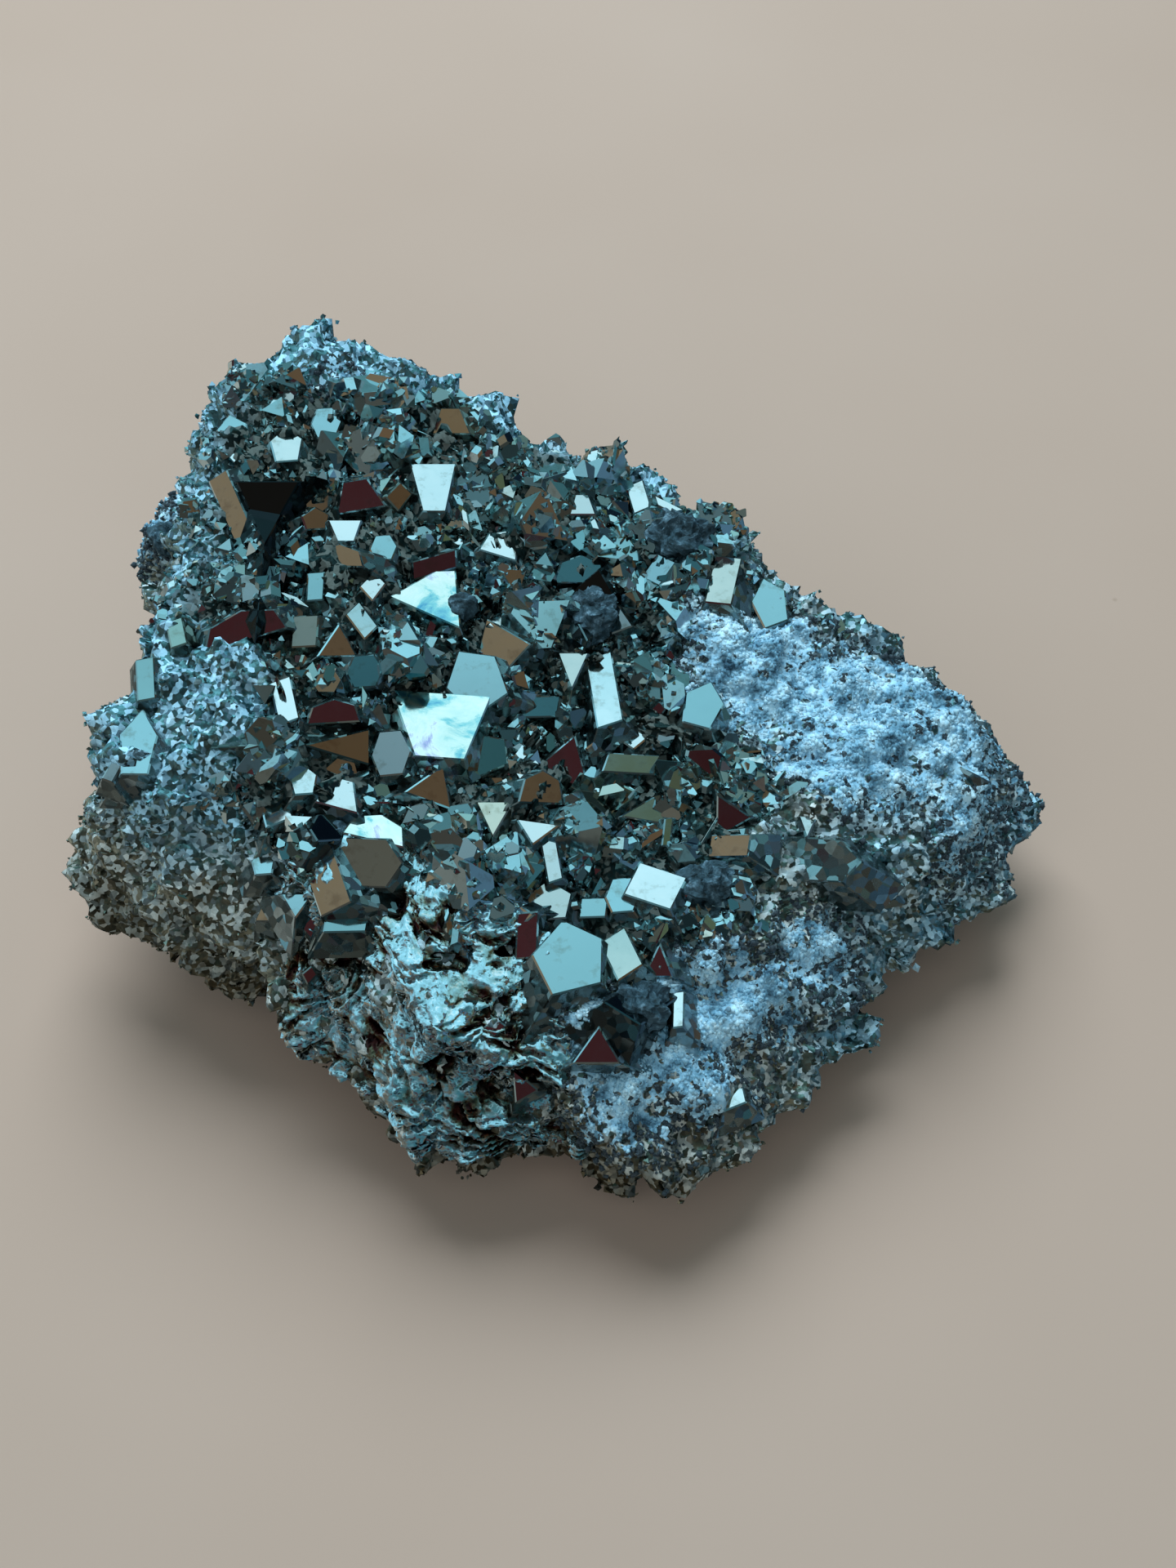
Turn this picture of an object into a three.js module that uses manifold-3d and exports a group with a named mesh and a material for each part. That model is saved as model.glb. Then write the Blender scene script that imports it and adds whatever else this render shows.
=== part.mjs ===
// Raw pyrite: one intergrown cabinet specimen, in millimetres, +Z up, resting on its broken underside.
// A lumpy chunk carries a druse of flat-faced pyrite crystals on top, a hackly broken edge at the front,
// granular sides and two patches of sugary quartz. It all grew together, so it is one closed solid.
// The origin is the point of the table under the middle of the stone.
import * as THREE from "three";
import { mergeVertices } from "three/addons/utils/BufferGeometryUtils.js";
import { ConvexGeometry } from "three/addons/geometries/ConvexGeometry.js";
import Module from "manifold-3d";

const wasm = await Module();
wasm.setup();

// ---------- Driving dimensions of the chunk, mm ----------

// Outline, every 15 degrees anticlockwise from +X: the radius of the top's rim, of the belly and of the foot.
const OUTLINE = [
  [26.8, 29.7, 22.0],
  [21.6, 26.0, 21.0],
  [19.2, 22.4, 17.5],
  [18.3, 20.5, 16.0],
  [19.1, 21.0, 16.0],
  [19.2, 21.0, 17.0],
  [20.6, 22.5, 18.0],
  [25.6, 27.5, 21.0],
  [32.5, 33.5, 25.0],
  [31.5, 33.0, 26.0],
  [25.5, 29.0, 24.0],
  [24.0, 27.5, 22.0],
  [24.3, 27.2, 20.0],
  [26.2, 29.6, 19.0],
  [22.0, 25.7, 16.7],
  [20.5, 23.4, 15.0],
  [20.5, 24.6, 16.3],
  [22.1, 26.2, 18.6],
  [21.5, 26.1, 19.5],
  [22.5, 28.8, 19.8],
  [21.3, 26.2, 18.8],
  [20.9, 24.8, 17.8],
  [21.8, 24.8, 17.9],
  [25.4, 27.5, 20.0],
];
const RIM = 0;
const BELLY = 1;
const FOOT = 2;

// Knobs on the side: bearing in degrees, height, how far out, half width in degrees, half height.
const KNOBS = [
  [148, 13, 4.2, 6, 4],
  [353, 5, 1.4, 7, 4],
  [262, 4, 1.0, 4, 4],
  [75, 17, 1.6, 12, 4],
  [200, 9, 0.5, 8, 4],
  [12, 13, 1.0, 9, 5],
];

const TOP_HEIGHT = 18; // at the middle of the top
const TOP_SLOPE_X = -0.13; // rise per millimetre
const TOP_SLOPE_Y = 0.15;
// A hollow in the middle and a shoulder on the left: x, y, half width in X, half width in Y, height.
const SWELLS = [
  [5, -4, 9, 9, -2.2],
  [-17, -4, 6, 7, 1.2],
];
const RIM_ROLL = 1.5; // how far the top rolls down before its rim
const BELLY_SHARE = 0.42; // the belly's height as a share of the rim's
const FOOT_HEIGHT = 0.3; // of the foot, before the stone is cut off flat at the table
const BASE_HEIGHT = -0.3; // of the underside's middle
const CHUNK_COLUMNS = 48;
const TOP_ROWS = 6; // rows of facets from the middle of the top to the rim
const SIDE_ROWS = 10;
const BASE_ROWS = 4;

// Relief of the broken rock: spacing and height of its ridges, coarse to fine.
const RELIEF = [
  [11.0, 0.9],
  [6.0, 0.6],
  [3.4, 0.45],
];
const CORE_HEIGHT = 9; // the relief pushes outwards from this height on the Z axis

// ---------- Driving dimensions of what grows on it, mm ----------

// Discs of the top and front, seen from above: x, y, radius.
const QUARTZ = [[14, 3, 6], [20, 0, 7.5], [27, -2, 6], [5, -24.5, 4.5], [9, -22, 5], [12.5, -19, 4.5]];
const HACKLY = [[-10, -18, 6.5], [-3, -22, 6.5], [-14, -14.5, 3], [-6, -17, 4]];
const GRANULAR = [[-23, -4, 6.5], [-17, 27, 5], [-10, 26, 4], [-3, 22.5, 3], [19, -11, 6.5], [25, -7, 5]];

// The side from which the crystals are laid out: a point in front of the stone, looking down at it.
const SIGHT_TILT = THREE.MathUtils.degToRad(50); // above the horizon
const SIGHT_AIM = new THREE.Vector3(2.6, -1.4, 9.8);
const SIGHT_DISTANCE = 141;
const TO_SIGHT = new THREE.Vector3(0, -Math.cos(SIGHT_TILT), Math.sin(SIGHT_TILT));
const SIGHT_UP = new THREE.Vector3(0, Math.sin(SIGHT_TILT), Math.cos(SIGHT_TILT));
const SIGHT = SIGHT_AIM.clone().addScaledVector(TO_SIGHT, SIGHT_DISTANCE);

// Bearing from +Y towards +X and height, in degrees, of what a face throws back to the sight point.
const GLEAMS = {
  glint: [2, 53],
  bright: [4, 50],
  pale: [20, 60],
  sky: [-28, 66],
  slate: [-50, 72],
  tan: [-78, 46],
  brown: [80, 44],
  umber: [-100, 62],
  maroon: [188, 62],
  teal: [110, 72],
  olive: [60, 62],
  navy: [34, 20],
  dark: [-4, 14],
};

// The principal crystals: where the face lies across and up as seen from the sight point, its width and
// height, its turn in degrees, its shape and which gleam it shows.
const PRINCIPAL = [
  [-20.7, 17.5, 4.1, 4.1, 180, "triangle", "dark"],
  [-23.1, 18.0, 1.5, 4.5, 25, "lath", "tan"],
  [-19.5, 22.0, 2.1, 2.3, 0, "pentagon", "bright"],
  [-23.0, 22.9, 2.0, 2.1, 10, "pentagon", "sky"],
  [-16.9, 23.4, 2.0, 2.0, 0, "hexagon", "sky"],
  [-8.8, 23.5, 2.5, 1.7, 0, "trapezoid", "tan"],
  [-10.0, 19.2, 3.0, 3.1, 180, "trapezoid", "bright"],
  [-14.8, 18.7, 3.2, 2.0, 10, "trapezoid", "maroon"],
  [-12.2, 18.6, 1.7, 1.9, 0, "kite", "brown"],
  [-17.6, 17.2, 1.8, 1.5, 0, "pentagon", "brown"],
  [-15.7, 16.4, 2.2, 1.4, 180, "trapezoid", "bright"],
  [-16.2, 14.8, 3.4, 1.5, 0, "halfmoon", "tan"],
  [-13.2, 15.3, 1.8, 1.7, 0, "hexagon", "pale"],
  [-5.6, 15.6, 2.5, 1.7, -15, "halfmoon", "bright"],
  [-10.6, 12.1, 4.4, 4.4, 95, "triangle", "glint"],
  [-9.9, 14.2, 3.2, 1.2, 15, "lath", "maroon"],
  [-17.6, 12.8, 1.2, 1.9, 0, "lath", "pale"],
  [-13.9, 12.8, 1.7, 1.9, 0, "kite", "bright"],
  [-14.6, 10.6, 1.3, 2.1, 40, "lath", "bright"],
  [-22.4, 10.2, 5.6, 2.0, 18, "halfmoon", "maroon"],
  [-18.3, 9.9, 1.8, 2.1, 0, "lath", "slate"],
  [-16.2, 9.3, 2.6, 2.1, 0, "triangle", "brown"],
  [-5.9, 8.5, 3.3, 3.2, 150, "trapezoid", "tan"],
  [-7.3, 6.8, 3.8, 4.2, 30, "pentagon", "sky"],
  [-19.6, 5.4, 1.5, 2.9, 15, "lath", "bright"],
  [-16.5, 4.7, 3.5, 1.6, 5, "halfmoon", "maroon"],
  [-14.4, 7.3, 2.4, 2.2, 0, "hexagon", "teal"],
  [-9.6, 3.8, 6.5, 4.2, 176, "trapezoid", "glint"],
  [-0.9, 7.3, 2.0, 2.4, 180, "triangle", "bright"],
  [1.1, 6.1, 1.9, 4.7, 12, "lath", "bright"],
  [0.4, 11.3, 3.2, 4.2, -10, "kite", "navy"],
  [-0.5, 13.9, 3.3, 1.9, 0, "halfmoon", "teal"],
  [7.5, 5.2, 2.6, 3.1, -20, "pentagon", "pale"],
  [8.8, 13.2, 1.9, 3.2, -10, "lath", "bright"],
  [11.8, 11.8, 2.3, 3.2, 15, "pentagon", "pale"],
  [3.3, 18.6, 1.3, 1.9, 20, "lath", "bright"],
  [-0.3, 18.1, 1.7, 1.3, 0, "trapezoid", "bright"],
  [-2.2, 21.2, 1.4, 1.2, 0, "pentagon", "bright"],
  [-16.2, 2.4, 2.3, 4.2, 90, "triangle", "brown"],
  [-12.7, 2.0, 2.6, 3.0, 0, "hexagon", "slate"],
  [-18.4, 0.3, 1.8, 2.0, 0, "pentagon", "bright"],
  [-16.0, -0.6, 2.9, 1.9, -15, "trapezoid", "bright"],
  [-20.1, -1.8, 2.0, 1.5, 20, "lath", "bright"],
  [-9.9, 0.1, 3.2, 2.5, -20, "triangle", "brown"],
  [-6.6, 2.0, 3.0, 2.6, 20, "pentagon", "teal"],
  [-13.7, -2.8, 4.1, 1.8, -12, "halfmoon", "glint"],
  [-16.7, -2.8, 2.5, 1.8, 0, "hexagon", "navy"],
  [-14.3, -5.1, 4.7, 3.3, -5, "hexagon", "umber"],
  [-16.9, -6.3, 2.4, 4.0, 22, "lath", "tan"],
  [-6.0, -2.3, 2.4, 2.3, 180, "triangle", "bright"],
  [-3.3, -3.2, 2.8, 1.5, 172, "triangle", "bright"],
  [-2.3, -4.9, 1.1, 2.9, 12, "lath", "bright"],
  [-1.4, 1.7, 3.9, 3.1, -15, "triangle", "maroon"],
  [-3.0, -0.2, 2.9, 2.2, 0, "halfmoon", "brown"],
  [-2.5, -7.5, 3.0, 2.6, 0, "pentagon", "bright"],
  [-1.2, -11.1, 4.7, 4.7, 10, "pentagon", "pale"],
  [-3.9, -9.8, 1.5, 3.1, 0, "lath", "maroon"],
  [-4.4, -8.6, 1.9, 1.4, 0, "kite", "tan"],
  [-20.7, -7.9, 1.7, 2.0, 0, "triangle", "tan"],
  [-18.8, -7.9, 2.1, 1.6, 180, "triangle", "sky"],
  [-17.8, -9.3, 1.5, 1.7, 0, "kite", "maroon"],
  [-15.6, -8.9, 3.0, 1.4, 0, "lath", "pale"],
  [4.0, -1.6, 3.5, 1.6, -10, "triangle", "olive"],
  [3.0, 2.9, 1.9, 1.3, 0, "kite", "bright"],
  [6.1, 3.9, 1.6, 2.2, 0, "kite", "bright"],
  [4.4, -6.6, 3.5, 2.4, -20, "lath", "bright"],
  [2.3, -7.2, 2.3, 2.3, 0, "hexagon", "pale"],
  [0.4, -8.0, 1.9, 1.3, 0, "lath", "pale"],
  [2.2, -11.0, 2.1, 2.8, 30, "lath", "bright"],
  [4.6, -11.4, 1.9, 2.2, 0, "triangle", "maroon"],
  [8.9, -1.8, 2.6, 2.4, 30, "triangle", "maroon"],
  [9.2, -4.0, 2.8, 1.5, 0, "lath", "tan"],
  [3.5, -14.1, 4.8, 3.0, 0, "kite", "navy"],
  [0.6, -16.9, 3.1, 2.4, 0, "triangle", "maroon"],
  [5.9, -14.6, 0.8, 2.4, 0, "lath", "bright"],
  [14.3, -2.8, 1.2, 1.5, 180, "triangle", "bright"],
  [14.8, -4.9, 5.9, 2.9, -5, "hexagon", "umber"],
];

// Outlines of a crystal face, one unit wide and high.
const FACES = {
  triangle: [[-0.5, -0.5], [0.5, -0.5], [0.05, 0.5]],
  trapezoid: [[-0.5, -0.5], [0.5, -0.5], [0.22, 0.5], [-0.28, 0.5]],
  kite: [[0, -0.5], [0.5, 0.1], [0.05, 0.5], [-0.5, 0]],
  pentagon: [[-0.32, -0.5], [0.38, -0.45], [0.5, 0.15], [0, 0.5], [-0.5, 0.1]],
  hexagon: [[-0.3, -0.5], [0.3, -0.45], [0.5, 0.05], [0.25, 0.5], [-0.3, 0.46], [-0.5, -0.05]],
  halfmoon: [[-0.5, -0.45], [0.5, -0.5], [0.42, 0.2], [0.05, 0.5], [-0.36, 0.25]],
  lath: [[-0.5, -0.5], [0.42, -0.46], [0.5, 0.5], [-0.42, 0.46]],
};
const OCTAHEDRAL_BEND = THREE.MathUtils.degToRad(70.5); // between neighbouring octahedron faces
const CUBE_BEND = THREE.MathUtils.degToRad(54.7); // between an octahedron face and a cube face

const FACE_LIFT = 0.3; // how far a face's middle stands out of the chunk
const LEAN_LIFT = 0.3; // and how much more it stands out for its width where it leans
const FACE_DEPTH = 0.55; // how deep the crystal reaches, as a share of its width
const ROOT_DEPTH = 0.8; // and beyond that
const FLANK_LEAN = [OCTAHEDRAL_BEND, CUBE_BEND, OCTAHEDRAL_BEND]; // taken in turn round a face

// The smaller crystals between: widths, largest first, and how closely they stand.
const FILL_WIDTHS = [5.0, 4.2, 3.5, 2.9];
const FILL_TRIES = 420; // places tried for each width
const FILL_SPACING = 0.38; // least distance between two centres, as a share of their widths' sum
const FILL_SINK = 0.2; // how deep a crystal's centre lies, as a share of its width
const HABITS = 8; // different crystal forms
const OCTAHEDRON_FAR = 0.36; // from a crystal's middle to its octahedron faces, as a share of its width
const CUBE_FAR = 0.42;
const DRUSE_EDGE = 0.96; // the druse ends at this share of the rim's radius

const LUMP_SINK = 0.1; // as a share of a lump's width
// Broken lumps: how many, least and greatest width, and their thickness as a share of it.
const LUMPS = {
  quartz: { count: 9, least: 3.5, most: 6.0, flat: 0.4 },
  hackly: { count: 9, least: 3.0, most: 5.5, flat: 0.4 },
  granular: { count: 7, least: 3.5, most: 5.5, flat: 0.4 },
  side: { count: 20, least: 4.5, most: 7.5, flat: 0.35 },
};

// ---------- Numbers ----------

// A repeatable stream of numbers from 0 to 1.
function stream(seed) {
  let state = seed >>> 0;
  return () => {
    state = (state + 0x6d2b79f5) >>> 0;
    let t = Math.imul(state ^ (state >>> 15), state | 1);
    t = (t + Math.imul(t ^ (t >>> 7), t | 61)) ^ t;
    return ((t ^ (t >>> 14)) >>> 0) / 4294967296;
  };
}

// The cubic that passes through b at t = 0 and c at t = 1, with a and d as its outer neighbours.
function spline(a, b, c, d, t) {
  return 0.5 * (2 * b + (c - a) * t + (2 * a - 5 * b + 4 * c - d) * t * t + (3 * b - a - 3 * c + d) * t ** 3);
}

const bell = (distance, width) => Math.exp(-((distance / width) ** 2));

// ---------- The chunk ----------

// The outline's radius at a bearing in radians, for the rim, the belly or the foot.
function radiusAt(bearing, level) {
  const n = OUTLINE.length;
  const place = (((bearing / (2 * Math.PI)) % 1) + 1) % 1 * n;
  const i = Math.floor(place) % n;
  const at = (k) => OUTLINE[(i + k + n) % n][level];
  return spline(at(-1), at(0), at(1), at(2), place - Math.floor(place));
}

function topHeight(x, y) {
  const swell = ([cx, cy, wx, wy, rise]) => rise * bell(x - cx, wx) * bell(y - cy, wy);
  return TOP_HEIGHT + TOP_SLOPE_X * x + TOP_SLOPE_Y * y + SWELLS.map(swell).reduce((a, b) => a + b);
}

function knobAt(bearing, height) {
  const degrees = THREE.MathUtils.radToDeg(bearing);
  const away = (to) => THREE.MathUtils.euclideanModulo(degrees - to + 180, 360) - 180;
  return KNOBS.map(([to, z, out, wide, tall]) => out * bell(away(to), wide) * bell(height - z, tall))
    .reduce((a, b) => a + b);
}

// A point of the chunk before its relief. Down runs from 0 at the top's middle to 1 at the rim, 1.5 at the
// belly, 2 at the foot and 3 under the middle.
function smoothPoint(bearing, down) {
  const rim = radiusAt(bearing, RIM);
  const belly = radiusAt(bearing, BELLY);
  const foot = radiusAt(bearing, FOOT);
  const cos = Math.cos(bearing);
  const sin = Math.sin(bearing);
  const rimHeight = topHeight(rim * cos, rim * sin) - RIM_ROLL;
  let radius;
  let height;
  if (down <= 1) {
    radius = rim * down;
    height = topHeight(radius * cos, radius * sin) - RIM_ROLL * down ** 6;
  } else if (down <= 2) {
    const radii = [rim - 3, rim, belly, foot, foot - 4]; // the first and last only steer the curve
    const heights = [rimHeight + 2, rimHeight, BELLY_SHARE * rimHeight, FOOT_HEIGHT, BASE_HEIGHT];
    const first = down < 1.5 ? 0 : 1;
    const t = (down - 1) * 2 - first;
    height = spline(...heights.slice(first, first + 4), t);
    radius = spline(...radii.slice(first, first + 4), t) + knobAt(bearing, height);
  } else {
    radius = foot * (3 - down);
    height = THREE.MathUtils.lerp(FOOT_HEIGHT, BASE_HEIGHT, Math.min(1, 3 * (down - 2)));
  }
  return new THREE.Vector3(radius * cos, radius * sin, height);
}

// Sharp ridges with round troughs between them, in three crossing directions that bend.
function relief(p) {
  let sum = 0;
  RELIEF.forEach(([spacing, height], i) => {
    const k = Math.PI / spacing;
    const a = Math.sin(k * (p.x + 0.4 * p.z) + 1.3 * i + 1.5 * Math.sin(0.62 * k * p.y));
    const b = Math.sin(k * (p.y - 0.3 * p.z) + 2.1 * i + 1.5 * Math.sin(0.74 * k * p.x));
    const c = Math.sin(k * (1.2 * p.z + 0.5 * p.x - 0.4 * p.y) + 0.7 * i);
    sum += height * (1.9 - Math.abs(a) - Math.abs(b) - Math.abs(c));
  });
  return sum;
}

function chunkPoint(bearing, down) {
  const p = smoothPoint(bearing, down);
  const out = new THREE.Vector3(p.x, p.y, p.z - CORE_HEIGHT).normalize();
  return p.addScaledVector(out, relief(p));
}

// The point over a place in plan, and the outward direction there.
function seatOver(x, y) {
  const bearing = Math.atan2(y, x);
  const reach = Math.hypot(x, y);
  let low = 0;
  let high = 1.5;
  for (let i = 0; i < 24; i++) {
    const middle = (low + high) / 2;
    const p = smoothPoint(bearing, middle);
    if (Math.hypot(p.x, p.y) < reach) low = middle;
    else high = middle;
  }
  return seatAt(bearing, low);
}

function seatAt(bearing, down) {
  const step = 0.03;
  const around = smoothPoint(bearing + step, down).sub(smoothPoint(bearing - step, down));
  const along = smoothPoint(bearing, down + step).sub(smoothPoint(bearing, down - step));
  return { down, point: chunkPoint(bearing, down), out: along.cross(around).normalize() };
}

// ---------- Solids ----------

// A closed geometry as a manifold-3d solid.
function solidOf(geometry) {
  const bare = geometry.index ? geometry.toNonIndexed() : geometry.clone();
  bare.deleteAttribute("normal");
  bare.deleteAttribute("uv");
  const merged = mergeVertices(bare, 1e-4);
  return new wasm.Manifold(new wasm.Mesh({
    numProp: 3,
    vertProperties: merged.attributes.position.array,
    triVerts: new Uint32Array(merged.index.array),
  }));
}

// A solid's surface as a geometry with flat faces.
function geometryOf(solid) {
  const mesh = solid.getMesh();
  const geometry = new THREE.BufferGeometry();
  geometry.setAttribute("position", new THREE.BufferAttribute(mesh.vertProperties.slice(), mesh.numProp));
  geometry.setIndex(new THREE.BufferAttribute(mesh.triVerts.slice(), 1));
  const flat = geometry.toNonIndexed();
  flat.computeVertexNormals();
  return flat;
}

// How far down the chunk a row of facets lies.
function downAt(row) {
  if (row <= TOP_ROWS) return row / TOP_ROWS;
  if (row <= TOP_ROWS + SIDE_ROWS) return 1 + (row - TOP_ROWS) / SIDE_ROWS;
  return 2 + (row - TOP_ROWS - SIDE_ROWS) / BASE_ROWS;
}

// The chunk is a sphere whose latitude and longitude are laid over the outline.
function chunkGeometry() {
  const rows = TOP_ROWS + SIDE_ROWS + BASE_ROWS;
  const geometry = new THREE.SphereGeometry(1, CHUNK_COLUMNS, rows);
  const { position, uv } = geometry.attributes;
  for (let i = 0; i < position.count; i++) {
    const down = downAt(Math.round(rows * (1 - uv.getY(i))));
    const p = chunkPoint(2 * Math.PI * (uv.getX(i) % 1), down);
    position.setXYZ(i, p.x, p.y, p.z);
  }
  return geometry;
}

function aboveTable(solid) {
  const room = new THREE.BoxGeometry(200, 200, 100).translate(0, 0, 50);
  return solid.intersect(solidOf(room));
}

// The outer skin alone, so that pockets sealed in between crystals are solid.
function skinOf(solid) {
  return solid.decompose().reduce((a, b) => (b.volume() > a.volume() ? b : a));
}

// The corners of the solid that lies behind every plane, each plane an outward unit direction and a distance.
function cornersOf(planes) {
  const corners = [];
  const cross = new THREE.Vector3();
  for (let i = 0; i < planes.length; i++)
    for (let j = i + 1; j < planes.length; j++)
      for (let k = j + 1; k < planes.length; k++) {
        const [a, b, c] = [planes[i], planes[j], planes[k]];
        const volume = a.out.dot(cross.crossVectors(b.out, c.out));
        if (Math.abs(volume) < 1e-6) continue;
        const p = cross.clone().multiplyScalar(a.far)
          .add(cross.crossVectors(c.out, a.out).clone().multiplyScalar(b.far))
          .add(cross.crossVectors(a.out, b.out).clone().multiplyScalar(c.far))
          .divideScalar(volume);
        const inside = planes.every((plane) => plane.out.dot(p) < plane.far + 1e-6);
        if (inside && corners.every((q) => q.distanceTo(p) > 1e-4)) corners.push(p);
      }
  return corners;
}

// ---------- Crystals ----------

// A crystal one unit wide: an octahedron with some of its corners cut by a cube, each face moved in or out,
// as crowded crystals grow.
function habitCorners(random) {
  const signs = [-1, 1];
  const octahedron = signs.flatMap((x) => signs.flatMap((y) => signs.map((z) => [x, y, z])));
  const cube = [[1, 0, 0], [0, 1, 0], [0, 0, 1]];
  const grown = (list, far) => list.map((d) => ({
    out: new THREE.Vector3(...d).normalize(),
    far: far * (0.8 + 0.4 * random()),
  }));
  return cornersOf([...grown(octahedron, OCTAHEDRON_FAR), ...grown(cube, CUBE_FAR)]);
}

// A direction from its bearing off +Y towards +X and its height above the horizon, in degrees.
function direction(bearing, height) {
  const b = THREE.MathUtils.degToRad(bearing);
  const h = THREE.MathUtils.degToRad(height);
  return new THREE.Vector3(Math.sin(b) * Math.cos(h), Math.cos(b) * Math.cos(h), Math.sin(h));
}

// The direction in which the sight point sees a place that lies across and up.
function sightLine(across, up) {
  const place = new THREE.Vector3(across, 0, 0).addScaledVector(SIGHT_UP, up).add(SIGHT_AIM);
  return place.sub(SIGHT).normalize();
}

// A principal crystal: its face lies where the sight lines through its outline meet the face's plane, and
// its flanks bend down from the face at crystal angles.
function principalCrystal([across, up, width, height, turn, shape, gleam], chunkMesh, random) {
  const line = sightLine(across, up);
  const [hit] = new THREE.Raycaster(SIGHT, line).intersectObject(chunkMesh);
  const [bearing, rise] = GLEAMS[gleam];
  const thrown = direction(bearing + 5 * (random() - 0.5), rise + 5 * (random() - 0.5));
  const out = thrown.sub(line).normalize();
  const size = Math.sqrt(width * height);
  const lean = Math.sqrt(1 - Math.min(1, out.dot(hit.face.normal)) ** 2);
  const centre = hit.point.clone().addScaledVector(line, -(FACE_LIFT + LEAN_LIFT * size * lean));
  const far = out.dot(centre);
  const angle = THREE.MathUtils.degToRad(turn);
  const corners = FACES[shape].map(([x, y]) => {
    const a = across + x * width * Math.cos(angle) - y * height * Math.sin(angle);
    const b = up + x * width * Math.sin(angle) + y * height * Math.cos(angle);
    const ray = sightLine(a, b);
    return SIGHT.clone().addScaledVector(ray, (far - out.dot(SIGHT)) / out.dot(ray));
  });
  const planes = [{ out, far }, { out: out.clone().negate(), far: FACE_DEPTH * size + ROOT_DEPTH - far }];
  corners.forEach((corner, i) => {
    const edge = corners[(i + 1) % corners.length].clone().sub(corner);
    const away = edge.cross(out).normalize();
    const bend = FLANK_LEAN[i % FLANK_LEAN.length];
    const flank = out.clone().multiplyScalar(Math.cos(bend)).addScaledVector(away, Math.sin(bend));
    planes.push({ out: flank, far: flank.dot(corner) });
  });
  return { centre, width: size, solid: solidOf(new ConvexGeometry(cornersOf(planes))) };
}

const within = (discs, p) => discs.some(([x, y, r]) => Math.hypot(p.x - x, p.y - y) < r);

function turned(random) {
  const [a, b, c] = [random(), random() * 2 * Math.PI, random() * 2 * Math.PI];
  return new THREE.Quaternion(
    Math.sqrt(1 - a) * Math.sin(b), Math.sqrt(1 - a) * Math.cos(b),
    Math.sqrt(a) * Math.sin(c), Math.sqrt(a) * Math.cos(c));
}

function placed(corners, centre, quaternion, scale) {
  const move = (p) => p.clone().multiply(scale).applyQuaternion(quaternion).add(centre);
  return new ConvexGeometry(corners.map(move));
}

// The crystals between the principal ones: places are tried at random, largest crystals first, and each
// keeps its distance from those already there.
function fillCrystals(taken, random) {
  const habits = Array.from({ length: HABITS }, () => habitCorners(random));
  const grown = [];
  for (const width of FILL_WIDTHS)
    for (let i = 0; i < FILL_TRIES; i++) {
      const [x, y, kind] = [70 * (random() - 0.5), 70 * (random() - 0.5), Math.floor(HABITS * random())];
      const quaternion = turned(random);
      const seat = seatOver(x, y);
      const { point, out } = seat;
      if (seat.down > DRUSE_EDGE || within([...QUARTZ, ...HACKLY, ...GRANULAR], point)) continue;
      const centre = point.clone().addScaledVector(out, -FILL_SINK * width);
      const clear = taken.every((t) => t.centre.distanceTo(centre) > FILL_SPACING * (t.width + width));
      if (!clear) continue;
      taken.push({ centre, width });
      const scale = new THREE.Vector3(width, width, width);
      grown.push(solidOf(placed(habits[kind], centre, quaternion, scale)));
    }
  return grown;
}

// ---------- Lumps ----------

function lumpCorners() {
  const ball = new THREE.IcosahedronGeometry(0.5, 0).deleteAttribute("normal").deleteAttribute("uv");
  const { position } = mergeVertices(ball).attributes;
  const corner = (_, i) => new THREE.Vector3().fromBufferAttribute(position, i);
  return Array.from({ length: position.count }, corner);
}

// Broken lumps, each a squashed icosahedron with its corners moved, sunk to its middle.
function lumps({ count, least, most, flat }, pick, random) {
  return Array.from({ length: count }, () => {
    const { point, out } = pick(random);
    const width = least + (most - least) * random();
    const corners = lumpCorners().map((p) => p.multiplyScalar(0.8 + 0.4 * random()));
    const facing = new THREE.Quaternion().setFromUnitVectors(new THREE.Vector3(0, 0, 1), out);
    const spin = new THREE.Quaternion().setFromAxisAngle(new THREE.Vector3(0, 0, 1), 2 * Math.PI * random());
    const scale = new THREE.Vector3(width, width * (0.7 + 0.3 * random()), width * flat);
    const centre = point.addScaledVector(out, -LUMP_SINK * width);
    return solidOf(placed(corners, centre, facing.multiply(spin), scale));
  });
}

const inDiscs = (discs) => (random) => {
  const [x, y, r] = discs[Math.floor(discs.length * random())];
  const [reach, bearing] = [r * Math.sqrt(random()), 2 * Math.PI * random()];
  return seatOver(x + reach * Math.cos(bearing), y + reach * Math.sin(bearing));
};

const onSide = (random) => seatAt(2 * Math.PI * random(), 1.12 + 0.7 * random());

// ---------- The specimen ----------

function specimen() {
  const random = stream(7);
  const chunk = solidOf(chunkGeometry());
  const chunkMesh = new THREE.Mesh(geometryOf(chunk));
  const principal = PRINCIPAL.map((row) => principalCrystal(row, chunkMesh, random));
  const fill = fillCrystals([...principal], random);
  const broken = [
    ...lumps(LUMPS.quartz, inDiscs(QUARTZ), random),
    ...lumps(LUMPS.hackly, inDiscs(HACKLY), random),
    ...lumps(LUMPS.granular, inDiscs(GRANULAR), random),
    ...lumps(LUMPS.side, onSide, random),
  ];
  const all = wasm.Manifold.union([chunk, ...principal.map((c) => c.solid), ...fill, ...broken]);
  return skinOf(aboveTable(all));
}

const pyrite = new THREE.Mesh(
  geometryOf(specimen()),
  new THREE.MeshStandardMaterial({ color: 0xb5ae8c, roughness: 0.25, metalness: 0.9, flatShading: true }),
);
pyrite.name = "pyrite_specimen";

const stone = new THREE.Group();
stone.add(pyrite);
export default stone;
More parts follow.
